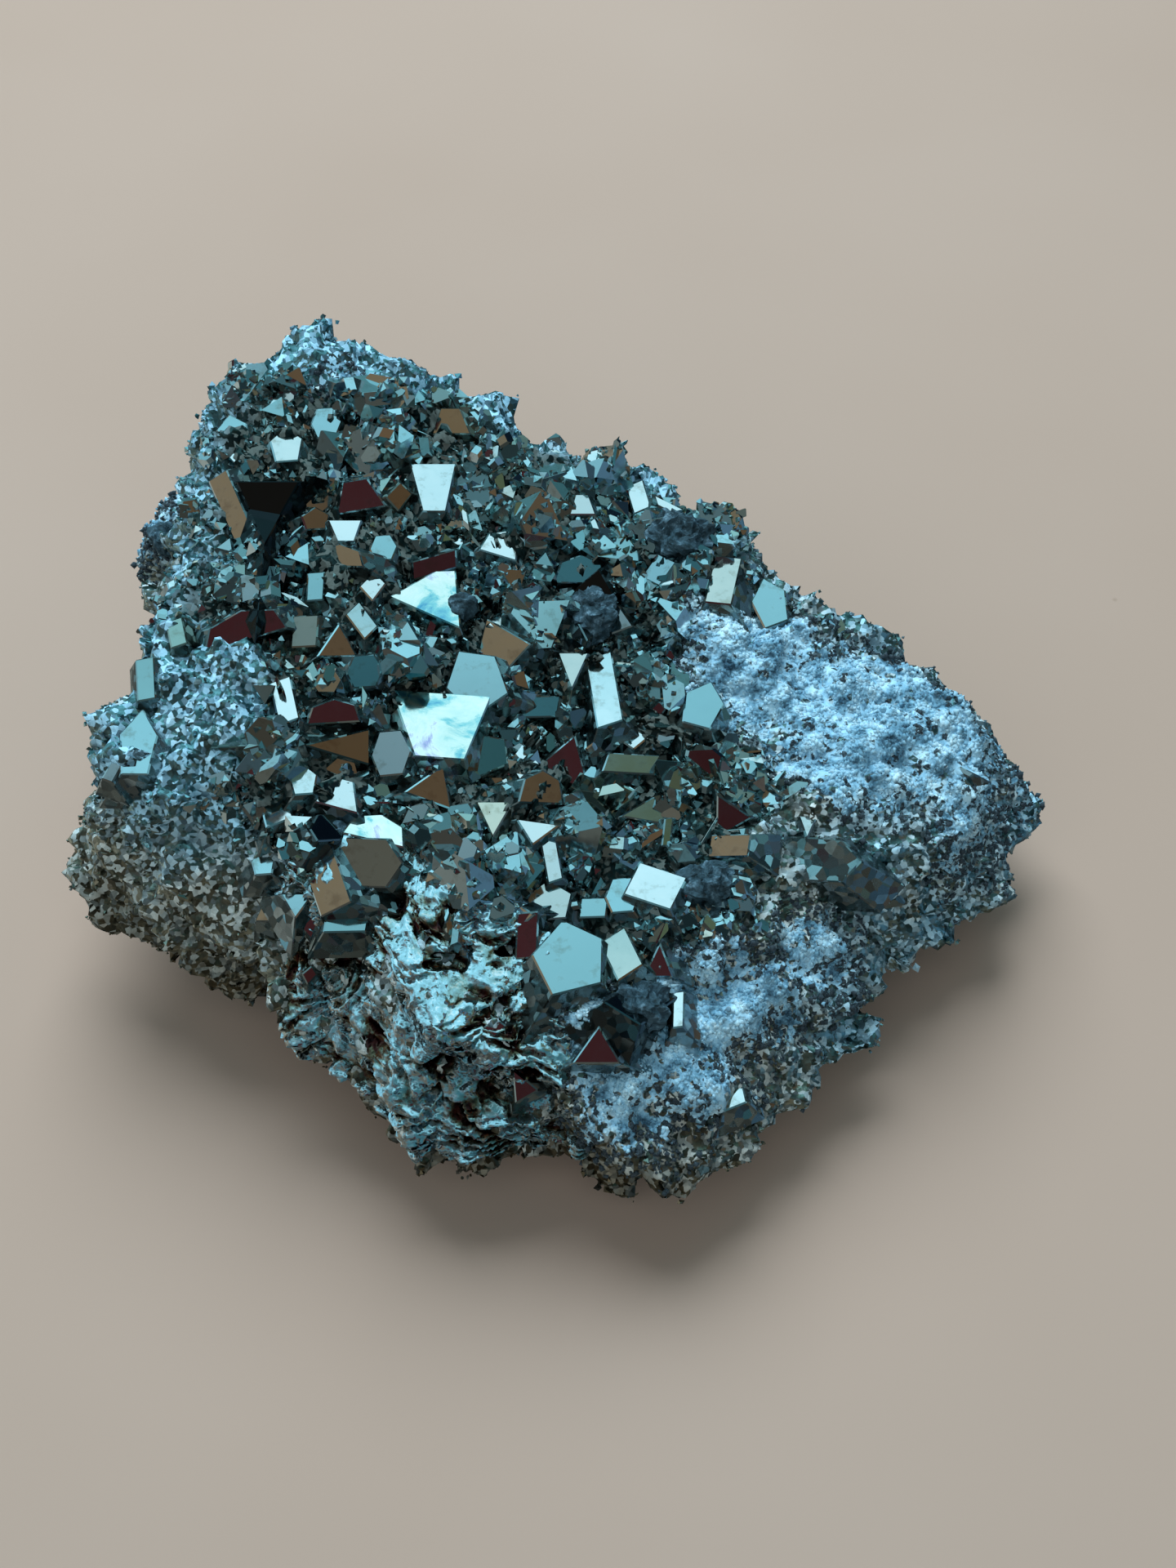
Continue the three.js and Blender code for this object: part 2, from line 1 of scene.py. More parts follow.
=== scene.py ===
# %% [markdown]
# # Raw pyrite
# One hand-sized piece of broken rock, about 6 cm across. Flat mirror-bright crystals cover its top, sugary
# quartz lies on two places, the front edge is torn metal foil, and the sides are fine sparkling grain.
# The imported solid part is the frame. Everything here lies in its coordinates, in metres, +Z up.

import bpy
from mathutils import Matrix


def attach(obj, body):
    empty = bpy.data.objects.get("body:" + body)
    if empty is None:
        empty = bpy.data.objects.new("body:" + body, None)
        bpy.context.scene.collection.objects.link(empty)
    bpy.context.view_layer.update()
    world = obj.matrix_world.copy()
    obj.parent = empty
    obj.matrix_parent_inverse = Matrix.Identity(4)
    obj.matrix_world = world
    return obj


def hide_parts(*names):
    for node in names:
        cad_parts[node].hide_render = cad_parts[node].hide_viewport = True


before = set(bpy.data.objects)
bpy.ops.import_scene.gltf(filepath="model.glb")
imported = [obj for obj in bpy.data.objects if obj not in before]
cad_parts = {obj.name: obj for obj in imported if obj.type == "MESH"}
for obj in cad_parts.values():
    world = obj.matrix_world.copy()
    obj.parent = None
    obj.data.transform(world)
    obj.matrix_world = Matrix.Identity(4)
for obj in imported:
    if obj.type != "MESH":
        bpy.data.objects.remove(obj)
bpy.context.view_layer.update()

# %% What every cell uses
import math
from itertools import combinations

import bpy
import numpy as np
from mathutils import Vector
from mathutils.bvhtree import BVHTree

MM = 0.001
TAU = 2 * math.pi

# %% [markdown]
# ## Repeatable numbers
# A rock needs chance, and a part needs to come out the same each time. The large crystals stand where the
# solid part has them, so their numbers come from the same little generator, in the same order. The small
# things that only the eye needs use numpy's own seeded generator.


# %% Repeatable numbers
def stream(seed):
    """Returns draw(count). Each number adds a constant to a 32-bit state, then stirs it with two products
    and three shifts."""
    state = seed

    def draw(count):
        nonlocal state
        numbers = []
        for _ in range(count):
            state = (state + 0x6D2B79F5) & 0xFFFFFFFF
            t = ((state ^ (state >> 15)) * (state | 1)) & 0xFFFFFFFF
            t = ((t + ((t ^ (t >> 7)) * (t | 61) & 0xFFFFFFFF)) ^ t) & 0xFFFFFFFF
            numbers.append((t ^ (t >> 14)) / 4294967296)
        return np.array(numbers)

    return draw


print("first numbers:", stream(7)(3).round(4))

# %% [markdown]
# ## The chunk
# The rock is round about and flat above and below, so two numbers name any place on it: the bearing, round
# the Z axis, and "down", from 0 in the middle of the top over the rim at 1, the belly at 1.5 and the foot
# at 2 to 3 in the middle of the underside. Sculpting would also do, but a function can be asked for a place
# as often and as finely as a later step needs.

# %% Sizes of the chunk, mm
OUTLINE = np.array([  # every 15 degrees from +X: radius of the rim, of the belly and of the foot
    [26.8, 29.7, 22.0], [21.6, 26.0, 21.0], [19.2, 22.4, 17.5], [18.3, 20.5, 16.0],
    [19.1, 21.0, 16.0], [19.2, 21.0, 17.0], [20.6, 22.5, 18.0], [25.6, 27.5, 21.0],
    [32.5, 33.5, 25.0], [31.5, 33.0, 26.0], [25.5, 29.0, 24.0], [24.0, 27.5, 22.0],
    [24.3, 27.2, 20.0], [26.2, 29.6, 19.0], [22.0, 25.7, 16.7], [20.5, 23.4, 15.0],
    [20.5, 24.6, 16.3], [22.1, 26.2, 18.6], [21.5, 26.1, 19.5], [22.5, 28.8, 19.8],
    [21.3, 26.2, 18.8], [20.9, 24.8, 17.8], [21.8, 24.8, 17.9], [25.4, 27.5, 20.0],
])
KNOBS = [  # bearing in degrees, height, how far out, half width in degrees, half height
    [148, 13, 4.2, 6, 4], [353, 5, 1.4, 7, 4], [262, 4, 1.0, 4, 4],
    [75, 17, 1.6, 12, 4], [200, 9, 0.5, 8, 4], [12, 13, 1.0, 9, 5],
]
SWELLS = [[5, -4, 9, 9, -2.2], [-17, -4, 6, 7, 1.2]]  # x, y, half widths, height
TOP_HEIGHT = 18
TOP_SLOPE = (-0.13, 0.15)
RIM_ROLL = 1.5  # how far the top bends down at the rim
BELLY_SHARE = 0.42  # of the rim's height
FOOT_HEIGHT = 0.3
BASE_HEIGHT = -0.3
RELIEF = [[11.0, 0.9], [6.0, 0.6], [3.4, 0.45]]  # spacing and height of the ridges
CORE = np.array([0, 0, 9.0])  # the relief pushes away from here
print("outline rows:", len(OUTLINE))


# %% The chunk as a function of bearing and down
def unit(vectors):
    """Vectors of any stack, each divided by its length."""
    return vectors / np.maximum(np.linalg.norm(vectors, axis=-1, keepdims=True), 1e-9)


def bell(distance, width):
    """1 in the middle and falling off as e to the minus square of distance over width."""
    return np.exp(-((distance / width) ** 2))


def spline(a, b, c, d, t):
    """The cubic that passes b at t = 0 and c at t = 1 and heads from a and towards d."""
    return 0.5 * (2 * b + (c - a) * t + (2 * a - 5 * b + 4 * c - d) * t**2 + (3 * b - a - 3 * c + d) * t**3)


def top_height(x, y):
    """A tilted plane plus one bell for each swell."""
    swells = sum(rise * bell(x - cx, wx) * bell(y - cy, wy) for cx, cy, wx, wy, rise in SWELLS)
    return TOP_HEIGHT + TOP_SLOPE[0] * x + TOP_SLOPE[1] * y + swells


def knob(bearing, height):
    """How far the knobs stand out: a bell round the bearing times a bell in height, for each."""
    away = [np.mod(np.degrees(bearing) - to + 180, 360) - 180 for to, *_ in KNOBS]
    return sum(out * bell(a, wide) * bell(height - z, tall)
               for a, (_, z, out, wide, tall) in zip(away, KNOBS))


def smooth_point(bearing, down):
    """Radius and height by down: the top's height up to the rim, cubics through rim, belly and foot on the
    side, and a straight run in to the middle underneath. Then the radius is turned to the bearing."""
    bearing, down = np.broadcast_arrays(bearing, down)
    place = np.mod(bearing / TAU, 1) * len(OUTLINE)
    row = np.floor(place).astype(int)
    around = [OUTLINE[(row + k) % len(OUTLINE)] for k in (-1, 0, 1, 2)]
    rim, belly, foot = np.moveaxis(spline(*around, (place - row)[..., None]), -1, 0)
    cos, sin = np.cos(bearing), np.sin(bearing)
    rim_height = top_height(rim * cos, rim * sin) - RIM_ROLL
    top_radius = rim * down
    top = top_height(top_radius * cos, top_radius * sin) - RIM_ROLL * down**6
    radii = np.stack([rim - 3, rim, belly, foot, foot - 4])
    level = np.ones_like(rim)
    heights = np.stack([rim_height + 2, rim_height, BELLY_SHARE * rim_height, FOOT_HEIGHT * level,
                        BASE_HEIGHT * level])
    lower = down >= 1.5
    t = (down - 1) * 2 - lower
    side = spline(*np.where(lower, heights[1:], heights[:-1]), t)
    side_radius = spline(*np.where(lower, radii[1:], radii[:-1]), t) + knob(bearing, side)
    under = FOOT_HEIGHT + (BASE_HEIGHT - FOOT_HEIGHT) * np.clip(3 * (down - 2), 0, 1)
    radius = np.select([down <= 1, down <= 2], [top_radius, side_radius], foot * (3 - down))
    height = np.select([down <= 1, down <= 2], [top, side], under)
    return np.stack([radius * cos, radius * sin, height], -1)


def relief(points):
    """Sharp ridges: for each spacing, 1.9 less the sizes of three crossing sines whose lines bend."""
    x, y, z = np.moveaxis(points, -1, 0)
    total = 0
    for i, (spacing, height) in enumerate(RELIEF):
        k = math.pi / spacing
        a = np.sin(k * (x + 0.4 * z) + 1.3 * i + 1.5 * np.sin(0.62 * k * y))
        b = np.sin(k * (y - 0.3 * z) + 2.1 * i + 1.5 * np.sin(0.74 * k * x))
        c = np.sin(k * (1.2 * z + 0.5 * x - 0.4 * y) + 0.7 * i)
        total = total + height * (1.9 - abs(a) - abs(b) - abs(c))
    return total


def chunk_point(bearing, down):
    """The smooth point, pushed away from the core by the relief."""
    p = smooth_point(bearing, down)
    return p + relief(p)[..., None] * unit(p - CORE)


def seat_at(bearing, down):
    """The chunk's points at these places, and the outward direction there: along crossed with around."""
    step = 0.03
    around = smooth_point(bearing + step, down) - smooth_point(bearing - step, down)
    along = smooth_point(bearing, down + step) - smooth_point(bearing, down - step)
    return chunk_point(bearing, down), unit(np.cross(along, around))


def down_over(x, y):
    """How far down the chunk lies over places in plan: its radius is halved in on, 24 times."""
    low = np.zeros_like(x)
    high = np.full_like(x, 1.5)
    for _ in range(24):
        middle = (low + high) / 2
        short = np.linalg.norm(smooth_point(np.arctan2(y, x), middle)[..., :2], axis=-1) < np.hypot(x, y)
        low, high = np.where(short, middle, low), np.where(short, high, middle)
    return low


print("rim at the front:", smooth_point(np.radians(270.0), 1.0).round(2))

# %% [markdown]
# ## Crystals from planes
# A crystal is the room behind a few flat faces, so it is stored as planes: an outward direction and a
# distance. Every corner is where three planes meet and no other plane cuts it off. A cube with a bevel
# would be quicker, but real crystals here are crowded octahedra with cube faces, no two alike.


# %% Corners and faces of a crystal
def corners_of(out, far):
    """All meeting points of three planes (out . p = far) that lie behind every plane."""
    trios = np.array(list(combinations(range(len(out)), 3)))
    sides, reach = out[trios], far[trios]
    volume = np.linalg.det(sides)
    good = abs(volume) > 1e-6
    points = np.linalg.solve(sides[good], reach[good][..., None])[..., 0]
    inside = (points @ out.T < far + 1e-6).all(axis=1)
    corners = []
    for p in points[inside]:
        if all(np.linalg.norm(p - q) > 1e-4 for q in corners):
            corners.append(p)
    return np.array(corners)


def crystal(out, far):
    """The corners, and for each plane its own corners in order of their angle about the plane's direction."""
    corners = corners_of(out, far)
    faces = []
    for direction, reach in zip(out, far):
        own = np.flatnonzero(abs(corners @ direction - reach) < 1e-4)
        if len(own) < 3:
            continue
        side = unit(np.cross(direction, [0.31, 0.57, 0.76]))
        flat = corners[own] - corners[own].mean(axis=0)
        order = np.argsort(np.arctan2(flat @ np.cross(direction, side), flat @ side))
        faces.append(own[order])
    return corners, faces


OCTAHEDRON = unit(np.array([[x, y, z] for x in (-1, 1) for y in (-1, 1) for z in (-1, 1)], float))
HABIT_PLANES = np.vstack([OCTAHEDRON, np.eye(3)])
HABIT_FAR = np.array([0.36] * 8 + [0.42] * 3)  # from the middle of a crystal one unit wide


def habits(count, draw):
    """Crystals one unit wide, each face moved in or out by up to a fifth, as crowded crystals grow."""
    return [crystal(HABIT_PLANES, HABIT_FAR * (0.8 + 0.4 * draw(len(HABIT_FAR)))) for _ in range(count)]


def turns(a, b, c):
    """Rotation matrices spread evenly over all turns, from three numbers 0 to 1 each, by the quaternion
    (sqrt(1-a) sin b, sqrt(1-a) cos b, sqrt(a) sin c, sqrt(a) cos c)."""
    b, c = b * TAU, c * TAU
    x, y = np.sqrt(1 - a) * np.sin(b), np.sqrt(1 - a) * np.cos(b)
    z, w = np.sqrt(a) * np.sin(c), np.sqrt(a) * np.cos(c)
    return np.moveaxis(np.array([
        [1 - 2 * (y * y + z * z), 2 * (x * y - z * w), 2 * (x * z + y * w)],
        [2 * (x * y + z * w), 1 - 2 * (x * x + z * z), 2 * (y * z - x * w)],
        [2 * (x * z - y * w), 2 * (y * z + x * w), 1 - 2 * (x * x + y * y)],
    ]), -1, 0)


print("faces of one habit:", len(habits(1, stream(3))[0][1]))

# %% [markdown]
# ## The principal crystals
# The largest mirrors decide what the stone looks like. Each face is set as a jeweller would turn a mirror:
# it lies at a chosen place, and its direction halves the angle between the line of sight and the part of
# the room that it should throw back. Its flanks then bend down at the angles between octahedron and cube.

# %% Where they lie and what they show
SIGHT_AIM = np.array([2.6, -1.4, 9.8])
SIGHT_TILT = math.radians(50)
SIGHT_DISTANCE = 141
TO_SIGHT = np.array([0, -math.cos(SIGHT_TILT), math.sin(SIGHT_TILT)])
SIGHT_UP = np.array([0, math.sin(SIGHT_TILT), math.cos(SIGHT_TILT)])
SIGHT = SIGHT_AIM + SIGHT_DISTANCE * TO_SIGHT
GLEAMS = {  # bearing from +Y towards +X and height of what is thrown back, degrees
    "glint": (2, 53), "bright": (4, 50), "pale": (20, 60), "sky": (-28, 66), "slate": (-50, 72),
    "tan": (-78, 46), "brown": (80, 44), "umber": (-100, 62), "maroon": (188, 62), "teal": (110, 72),
    "olive": (60, 62), "navy": (34, 20), "dark": (-4, 14), "soot": (-100, 62),
}
PRINCIPAL = [  # across, up, width, height, turn in degrees, shape, gleam
    [-20.7, 17.5, 4.1, 4.1, 180, "triangle", "dark"], [-23.1, 18.0, 1.5, 4.5, 25, "lath", "tan"],
    [-19.5, 22.0, 2.1, 2.3, 0, "pentagon", "bright"], [-23.0, 22.9, 2.0, 2.1, 10, "pentagon", "sky"],
    [-16.9, 23.4, 2.0, 2.0, 0, "hexagon", "sky"], [-8.8, 23.5, 2.5, 1.7, 0, "trapezoid", "tan"],
    [-10.0, 19.2, 3.0, 3.1, 180, "trapezoid", "bright"], [-14.8, 18.7, 3.2, 2.0, 10, "trapezoid", "maroon"],
    [-12.2, 18.6, 1.7, 1.9, 0, "kite", "brown"], [-17.6, 17.2, 1.8, 1.5, 0, "pentagon", "brown"],
    [-15.7, 16.4, 2.2, 1.4, 180, "trapezoid", "bright"], [-16.2, 14.8, 3.4, 1.5, 0, "halfmoon", "tan"],
    [-13.2, 15.3, 1.8, 1.7, 0, "hexagon", "pale"], [-5.6, 15.6, 2.5, 1.7, -15, "halfmoon", "bright"],
    [-10.6, 12.1, 4.4, 4.4, 95, "triangle", "glint"], [-9.9, 14.2, 3.2, 1.2, 15, "lath", "maroon"],
    [-17.6, 12.8, 1.2, 1.9, 0, "lath", "pale"], [-13.9, 12.8, 1.7, 1.9, 0, "kite", "bright"],
    [-14.6, 10.6, 1.3, 2.1, 40, "lath", "bright"], [-22.4, 10.2, 5.6, 2.0, 18, "halfmoon", "maroon"],
    [-18.3, 9.9, 1.8, 2.1, 0, "lath", "slate"], [-16.2, 9.3, 2.6, 2.1, 0, "triangle", "brown"],
    [-5.9, 8.5, 3.3, 3.2, 150, "trapezoid", "tan"], [-7.3, 6.8, 3.8, 4.2, 30, "pentagon", "sky"],
    [-19.6, 5.4, 1.5, 2.9, 15, "lath", "bright"], [-16.5, 4.7, 3.5, 1.6, 5, "halfmoon", "maroon"],
    [-14.4, 7.3, 2.4, 2.2, 0, "hexagon", "teal"], [-9.6, 3.8, 6.5, 4.2, 176, "trapezoid", "glint"],
    [-0.9, 7.3, 2.0, 2.4, 180, "triangle", "bright"], [1.1, 6.1, 1.9, 4.7, 12, "lath", "bright"],
    [0.4, 11.3, 3.2, 4.2, -10, "kite", "navy"], [-0.5, 13.9, 3.3, 1.9, 0, "halfmoon", "teal"],
    [7.5, 5.2, 2.6, 3.1, -20, "pentagon", "pale"], [8.8, 13.2, 1.9, 3.2, -10, "lath", "bright"],
    [11.8, 11.8, 2.3, 3.2, 15, "pentagon", "pale"], [3.3, 18.6, 1.3, 1.9, 20, "lath", "bright"],
    [-0.3, 18.1, 1.7, 1.3, 0, "trapezoid", "bright"], [-2.2, 21.2, 1.4, 1.2, 0, "pentagon", "bright"],
    [-16.2, 2.4, 2.3, 4.2, 90, "triangle", "brown"], [-12.7, 2.0, 2.6, 3.0, 0, "hexagon", "slate"],
    [-18.4, 0.3, 1.8, 2.0, 0, "pentagon", "bright"], [-16.0, -0.6, 2.9, 1.9, -15, "trapezoid", "bright"],
    [-20.1, -1.8, 2.0, 1.5, 20, "lath", "bright"], [-9.9, 0.1, 3.2, 2.5, -20, "triangle", "brown"],
    [-6.6, 2.0, 3.0, 2.6, 20, "pentagon", "teal"], [-13.7, -2.8, 4.1, 1.8, -12, "halfmoon", "glint"],
    [-16.7, -2.8, 2.5, 1.8, 0, "hexagon", "navy"], [-14.3, -5.1, 4.7, 3.3, -5, "hexagon", "umber"],
    [-16.9, -6.3, 2.4, 4.0, 22, "lath", "tan"], [-6.0, -2.3, 2.4, 2.3, 180, "triangle", "bright"],
    [-3.3, -3.2, 2.8, 1.5, 172, "triangle", "bright"], [-2.3, -4.9, 1.1, 2.9, 12, "lath", "bright"],
    [-1.4, 1.7, 3.9, 3.1, -15, "triangle", "maroon"], [-3.0, -0.2, 2.9, 2.2, 0, "halfmoon", "brown"],
    [-2.5, -7.5, 3.0, 2.6, 0, "pentagon", "bright"], [-1.2, -11.1, 4.7, 4.7, 10, "pentagon", "pale"],
    [-3.9, -9.8, 1.5, 3.1, 0, "lath", "maroon"], [-4.4, -8.6, 1.9, 1.4, 0, "kite", "tan"],
    [-20.7, -7.9, 1.7, 2.0, 0, "triangle", "tan"], [-18.8, -7.9, 2.1, 1.6, 180, "triangle", "sky"],
    [-17.8, -9.3, 1.5, 1.7, 0, "kite", "maroon"], [-15.6, -8.9, 3.0, 1.4, 0, "lath", "pale"],
    [4.0, -1.6, 3.5, 1.6, -10, "triangle", "olive"], [3.0, 2.9, 1.9, 1.3, 0, "kite", "bright"],
    [6.1, 3.9, 1.6, 2.2, 0, "kite", "bright"], [4.4, -6.6, 3.5, 2.4, -20, "lath", "bright"],
    [2.3, -7.2, 2.3, 2.3, 0, "hexagon", "pale"], [0.4, -8.0, 1.9, 1.3, 0, "lath", "pale"],
    [2.2, -11.0, 2.1, 2.8, 30, "lath", "bright"], [4.6, -11.4, 1.9, 2.2, 0, "triangle", "maroon"],
    [8.9, -1.8, 2.6, 2.4, 30, "triangle", "maroon"], [9.2, -4.0, 2.8, 1.5, 0, "lath", "tan"],
    [3.5, -14.1, 4.8, 3.0, 0, "kite", "navy"], [0.6, -16.9, 3.1, 2.4, 0, "triangle", "maroon"],
    [5.9, -14.6, 0.8, 2.4, 0, "lath", "bright"], [14.3, -2.8, 1.2, 1.5, 180, "triangle", "bright"],
    [14.8, -4.9, 5.9, 2.9, -5, "hexagon", "umber"],
]
FACES = {  # one unit wide and high
    "triangle": [[-0.5, -0.5], [0.5, -0.5], [0.05, 0.5]],
    "trapezoid": [[-0.5, -0.5], [0.5, -0.5], [0.22, 0.5], [-0.28, 0.5]],
    "kite": [[0, -0.5], [0.5, 0.1], [0.05, 0.5], [-0.5, 0]],
    "pentagon": [[-0.32, -0.5], [0.38, -0.45], [0.5, 0.15], [0, 0.5], [-0.5, 0.1]],
    "hexagon": [[-0.3, -0.5], [0.3, -0.45], [0.5, 0.05], [0.25, 0.5], [-0.3, 0.46], [-0.5, -0.05]],
    "halfmoon": [[-0.5, -0.45], [0.5, -0.5], [0.42, 0.2], [0.05, 0.5], [-0.36, 0.25]],
    "lath": [[-0.5, -0.5], [0.42, -0.46], [0.5, 0.5], [-0.42, 0.46]],
}
FLANK_LEAN = np.radians([70.5, 54.7, 70.5])  # octahedron, cube, octahedron
FACE_LIFT, LEAN_LIFT = 0.3, 0.3
FACE_DEPTH, ROOT_DEPTH = 0.55, 0.8
GLEAM_JITTER = 5  # degrees
print("principal crystals:", len(PRINCIPAL))

# %% A coarse copy of the chunk for the lines of sight to meet
COARSE_COLUMNS = 48
COARSE_DOWN = np.concatenate([np.arange(7) / 6, 1 + np.arange(1, 11) / 10, 2 + np.arange(1, 5) / 4])


def coarse_tree():
    """Quads of the coarse grid of bearing and down, each split into two triangles, in a search tree."""
    bearing = TAU * np.arange(COARSE_COLUMNS + 1) / COARSE_COLUMNS
    points = chunk_point(bearing[None, :], COARSE_DOWN[:, None])
    rows, columns = points.shape[:2]
    at = np.arange(rows * columns).reshape(rows, columns)
    a, b, c, d = at[:-1, 1:], at[:-1, :-1], at[1:, :-1], at[1:, 1:]
    triangles = np.concatenate([np.stack(t, -1).reshape(-1, 3) for t in ((a, b, d), (b, c, d))])
    return BVHTree.FromPolygons(points.reshape(-1, 3).tolist(), triangles.tolist())


def direction(bearing, height):
    """The unit direction at a bearing off +Y towards +X and a height above the horizon, in degrees."""
    b, h = math.radians(bearing), math.radians(height)
    return np.array([math.sin(b) * math.cos(h), math.cos(b) * math.cos(h), math.sin(h)])


def sight_line(across, up):
    """From the sight point towards a place that lies across and up, as seen from there."""
    return unit(SIGHT_AIM + np.array([across, 0, 0]) + up * SIGHT_UP - SIGHT)


def face_crystal(row, ground, jitter):
    """The face's plane halves sight and gleam, which is moved by a few degrees. Its outline is where the
    lines of sight meet that plane, and each edge carries a flank that leans at a crystal angle. Returns
    centre, width, planes and distances."""
    across, up, width, height, turn, shape, gleam = row
    line = sight_line(across, up)
    hit, normal, _, _ = ground.ray_cast(Vector(SIGHT), Vector(line))
    bearing, rise = GLEAMS[gleam]
    thrown = direction(bearing + GLEAM_JITTER * (jitter[0] - 0.5), rise + GLEAM_JITTER * (jitter[1] - 0.5))
    out = unit(thrown - line)
    size = math.sqrt(width * height)
    lean = math.sqrt(1 - min(1, abs(out @ np.array(normal))) ** 2)
    centre = np.array(hit) - (FACE_LIFT + LEAN_LIFT * size * lean) * line
    far = out @ centre
    cos, sin = math.cos(math.radians(turn)), math.sin(math.radians(turn))
    corners = []
    for x, y in np.array(FACES[shape]) * [width, height]:
        ray = sight_line(across + x * cos - y * sin, up + x * sin + y * cos)
        corners.append(SIGHT + ray * (far - out @ SIGHT) / (out @ ray))
    corners = np.array(corners)
    away = unit(np.cross(np.roll(corners, -1, axis=0) - corners, out))
    bend = np.resize(FLANK_LEAN, len(corners))[:, None]
    flanks = out * np.cos(bend) + away * np.sin(bend)
    planes = np.vstack([out, -out, flanks])
    reach = np.concatenate([[far, FACE_DEPTH * size + ROOT_DEPTH - far], (flanks * corners).sum(axis=1)])
    return centre, size, planes, reach


draw = stream(7)
ground = coarse_tree()
principal = [face_crystal(row, ground, draw(2)) for row in PRINCIPAL]
print("widest face, mm:", round(max(size for _, size, _, _ in principal), 2))

# %% [markdown]
# ## The crystals between
# Between the large mirrors stand crystals 3 to 5 mm wide. Places are tried at random, largest first, and
# one is kept only where its neighbours leave room. A particle system would scatter faster, but it neither
# keeps this distance nor stands exactly where the solid part has them.

# %% Discs of the top and front, seen from above: x, y, radius in mm
QUARTZ = [[14, 3, 6], [20, 0, 7.5], [27, -2, 6], [5, -24.5, 4.5], [9, -22, 5], [12.5, -19, 4.5]]
HACKLY = [[-10, -18, 6.5], [-3, -22, 6.5], [-14, -14.5, 3], [-6, -17, 4]]
GRANULAR = [[-23, -4, 6.5], [-17, 27, 5], [-10, 26, 4], [-3, 22.5, 3], [19, -11, 6.5], [25, -7, 5]]
BARE_OF_DRUSE = QUARTZ + HACKLY + GRANULAR
PLAN_REACH = 35  # places are tried this far out from the middle on each side
FILL_WIDTHS = [5.0, 4.2, 3.5, 2.9]
FILL_TRIES = 420  # for each width
FILL_SPACING = 0.38  # least distance of two middles, as a share of both widths
FILL_SINK = 0.2  # of the width
DRUSE_EDGE = 0.96  # down


def reach_of(discs, points):
    """Distance in plan to the nearest disc's edge, negative inside."""
    return np.min([np.hypot(points[..., 0] - x, points[..., 1] - y) - r for x, y, r in discs], axis=0)


def fill_places(taken, draw):
    """Tries rows of six numbers: place, kind and turn. Returns the kept centres, widths, kinds and turns."""
    tries = draw(len(FILL_WIDTHS) * FILL_TRIES * 6).reshape(-1, 6)
    x, y = 2 * PLAN_REACH * (tries[:, :2].T - 0.5)
    down = down_over(x, y)
    points, out = seat_at(np.arctan2(y, x), down)
    width = np.repeat(FILL_WIDTHS, FILL_TRIES)
    centres = points - FILL_SINK * width[:, None] * out
    bare = (down <= DRUSE_EDGE) & (reach_of(BARE_OF_DRUSE, points) >= 0)
    near = [c for c, *_ in taken]
    wide = [w for _, w, *_ in taken]
    kept = []
    for i in np.flatnonzero(bare):
        gaps = np.linalg.norm(np.array(near) - centres[i], axis=1)
        if (gaps > FILL_SPACING * (np.array(wide) + width[i])).all():
            near.append(centres[i])
            wide.append(width[i])
            kept.append(i)
    return centres[kept], width[kept], (8 * tries[kept, 2]).astype(int), turns(*tries[kept, 3:].T)


fill_habits = habits(8, draw)
fill_centres, fill_widths, fill_kinds, fill_turns = fill_places(principal, draw)
print("crystals between:", len(fill_centres))

# %% [markdown]
# ## Broken lumps
# The quartz, the torn front and the sides are lumpy where pieces broke off. Each lump is an icosahedron
# with its corners moved, squashed flat and sunk into the stone. It is kept as planes, so that the stone's
# surface can be draped over it: no seams, and no hidden inside faces.

# %% The lumps, in the order in which the solid part has them
G = (1 + math.sqrt(5)) / 2
ICOSAHEDRON = 0.5 * unit(np.array([
    [-G, 0, 1], [0, 1, G], [-1, G, 0], [1, G, 0], [0, 1, -G], [-G, 0, -1],
    [G, 0, 1], [0, -1, G], [-1, -G, 0], [0, -1, -G], [G, 0, -1], [1, -G, 0],
]))
LUMPS = [  # discs to choose from, or None for the side; how many; least and greatest width; thickness
    (QUARTZ, 9, 3.5, 6.0, 0.4), (HACKLY, 9, 3.0, 5.5, 0.4), (GRANULAR, 7, 3.5, 5.5, 0.4),
    (None, 20, 4.5, 7.5, 0.35),
]
LUMP_SINK = 0.1  # of the width
LUMP_WEAR = 2.0  # no lump stands out further than this, mm


def hull_planes(corners):
    """The planes through three corners that have all the other corners on one side."""
    trios = corners[np.array(list(combinations(range(len(corners)), 3)))]
    out = unit(np.cross(trios[:, 1] - trios[:, 0], trios[:, 2] - trios[:, 0]))
    out *= np.where((out * trios[:, 0]).sum(axis=1) < (out @ corners.T).mean(axis=1), -1, 1)[:, None]
    far = (out * trios[:, 0]).sum(axis=1)
    hull = ((out @ corners.T) < far[:, None] + 1e-6).all(axis=1)
    return out[hull], far[hull]


def lump_seat(discs, draw):
    """A place in one of the discs, spread evenly over it, or on the side between rim and foot."""
    if discs is None:
        bearing, down = draw(2) * [TAU, 0.7] + [0, 1.12]
        return seat_at(bearing, down)
    kind, reach, bearing = draw(3)
    x, y, r = discs[int(len(discs) * kind)]
    x = x + r * math.sqrt(reach) * math.cos(TAU * bearing)
    y = y + r * math.sqrt(reach) * math.sin(TAU * bearing)
    return seat_at(np.arctan2(y, x), down_over(np.array(x), np.array(y)))


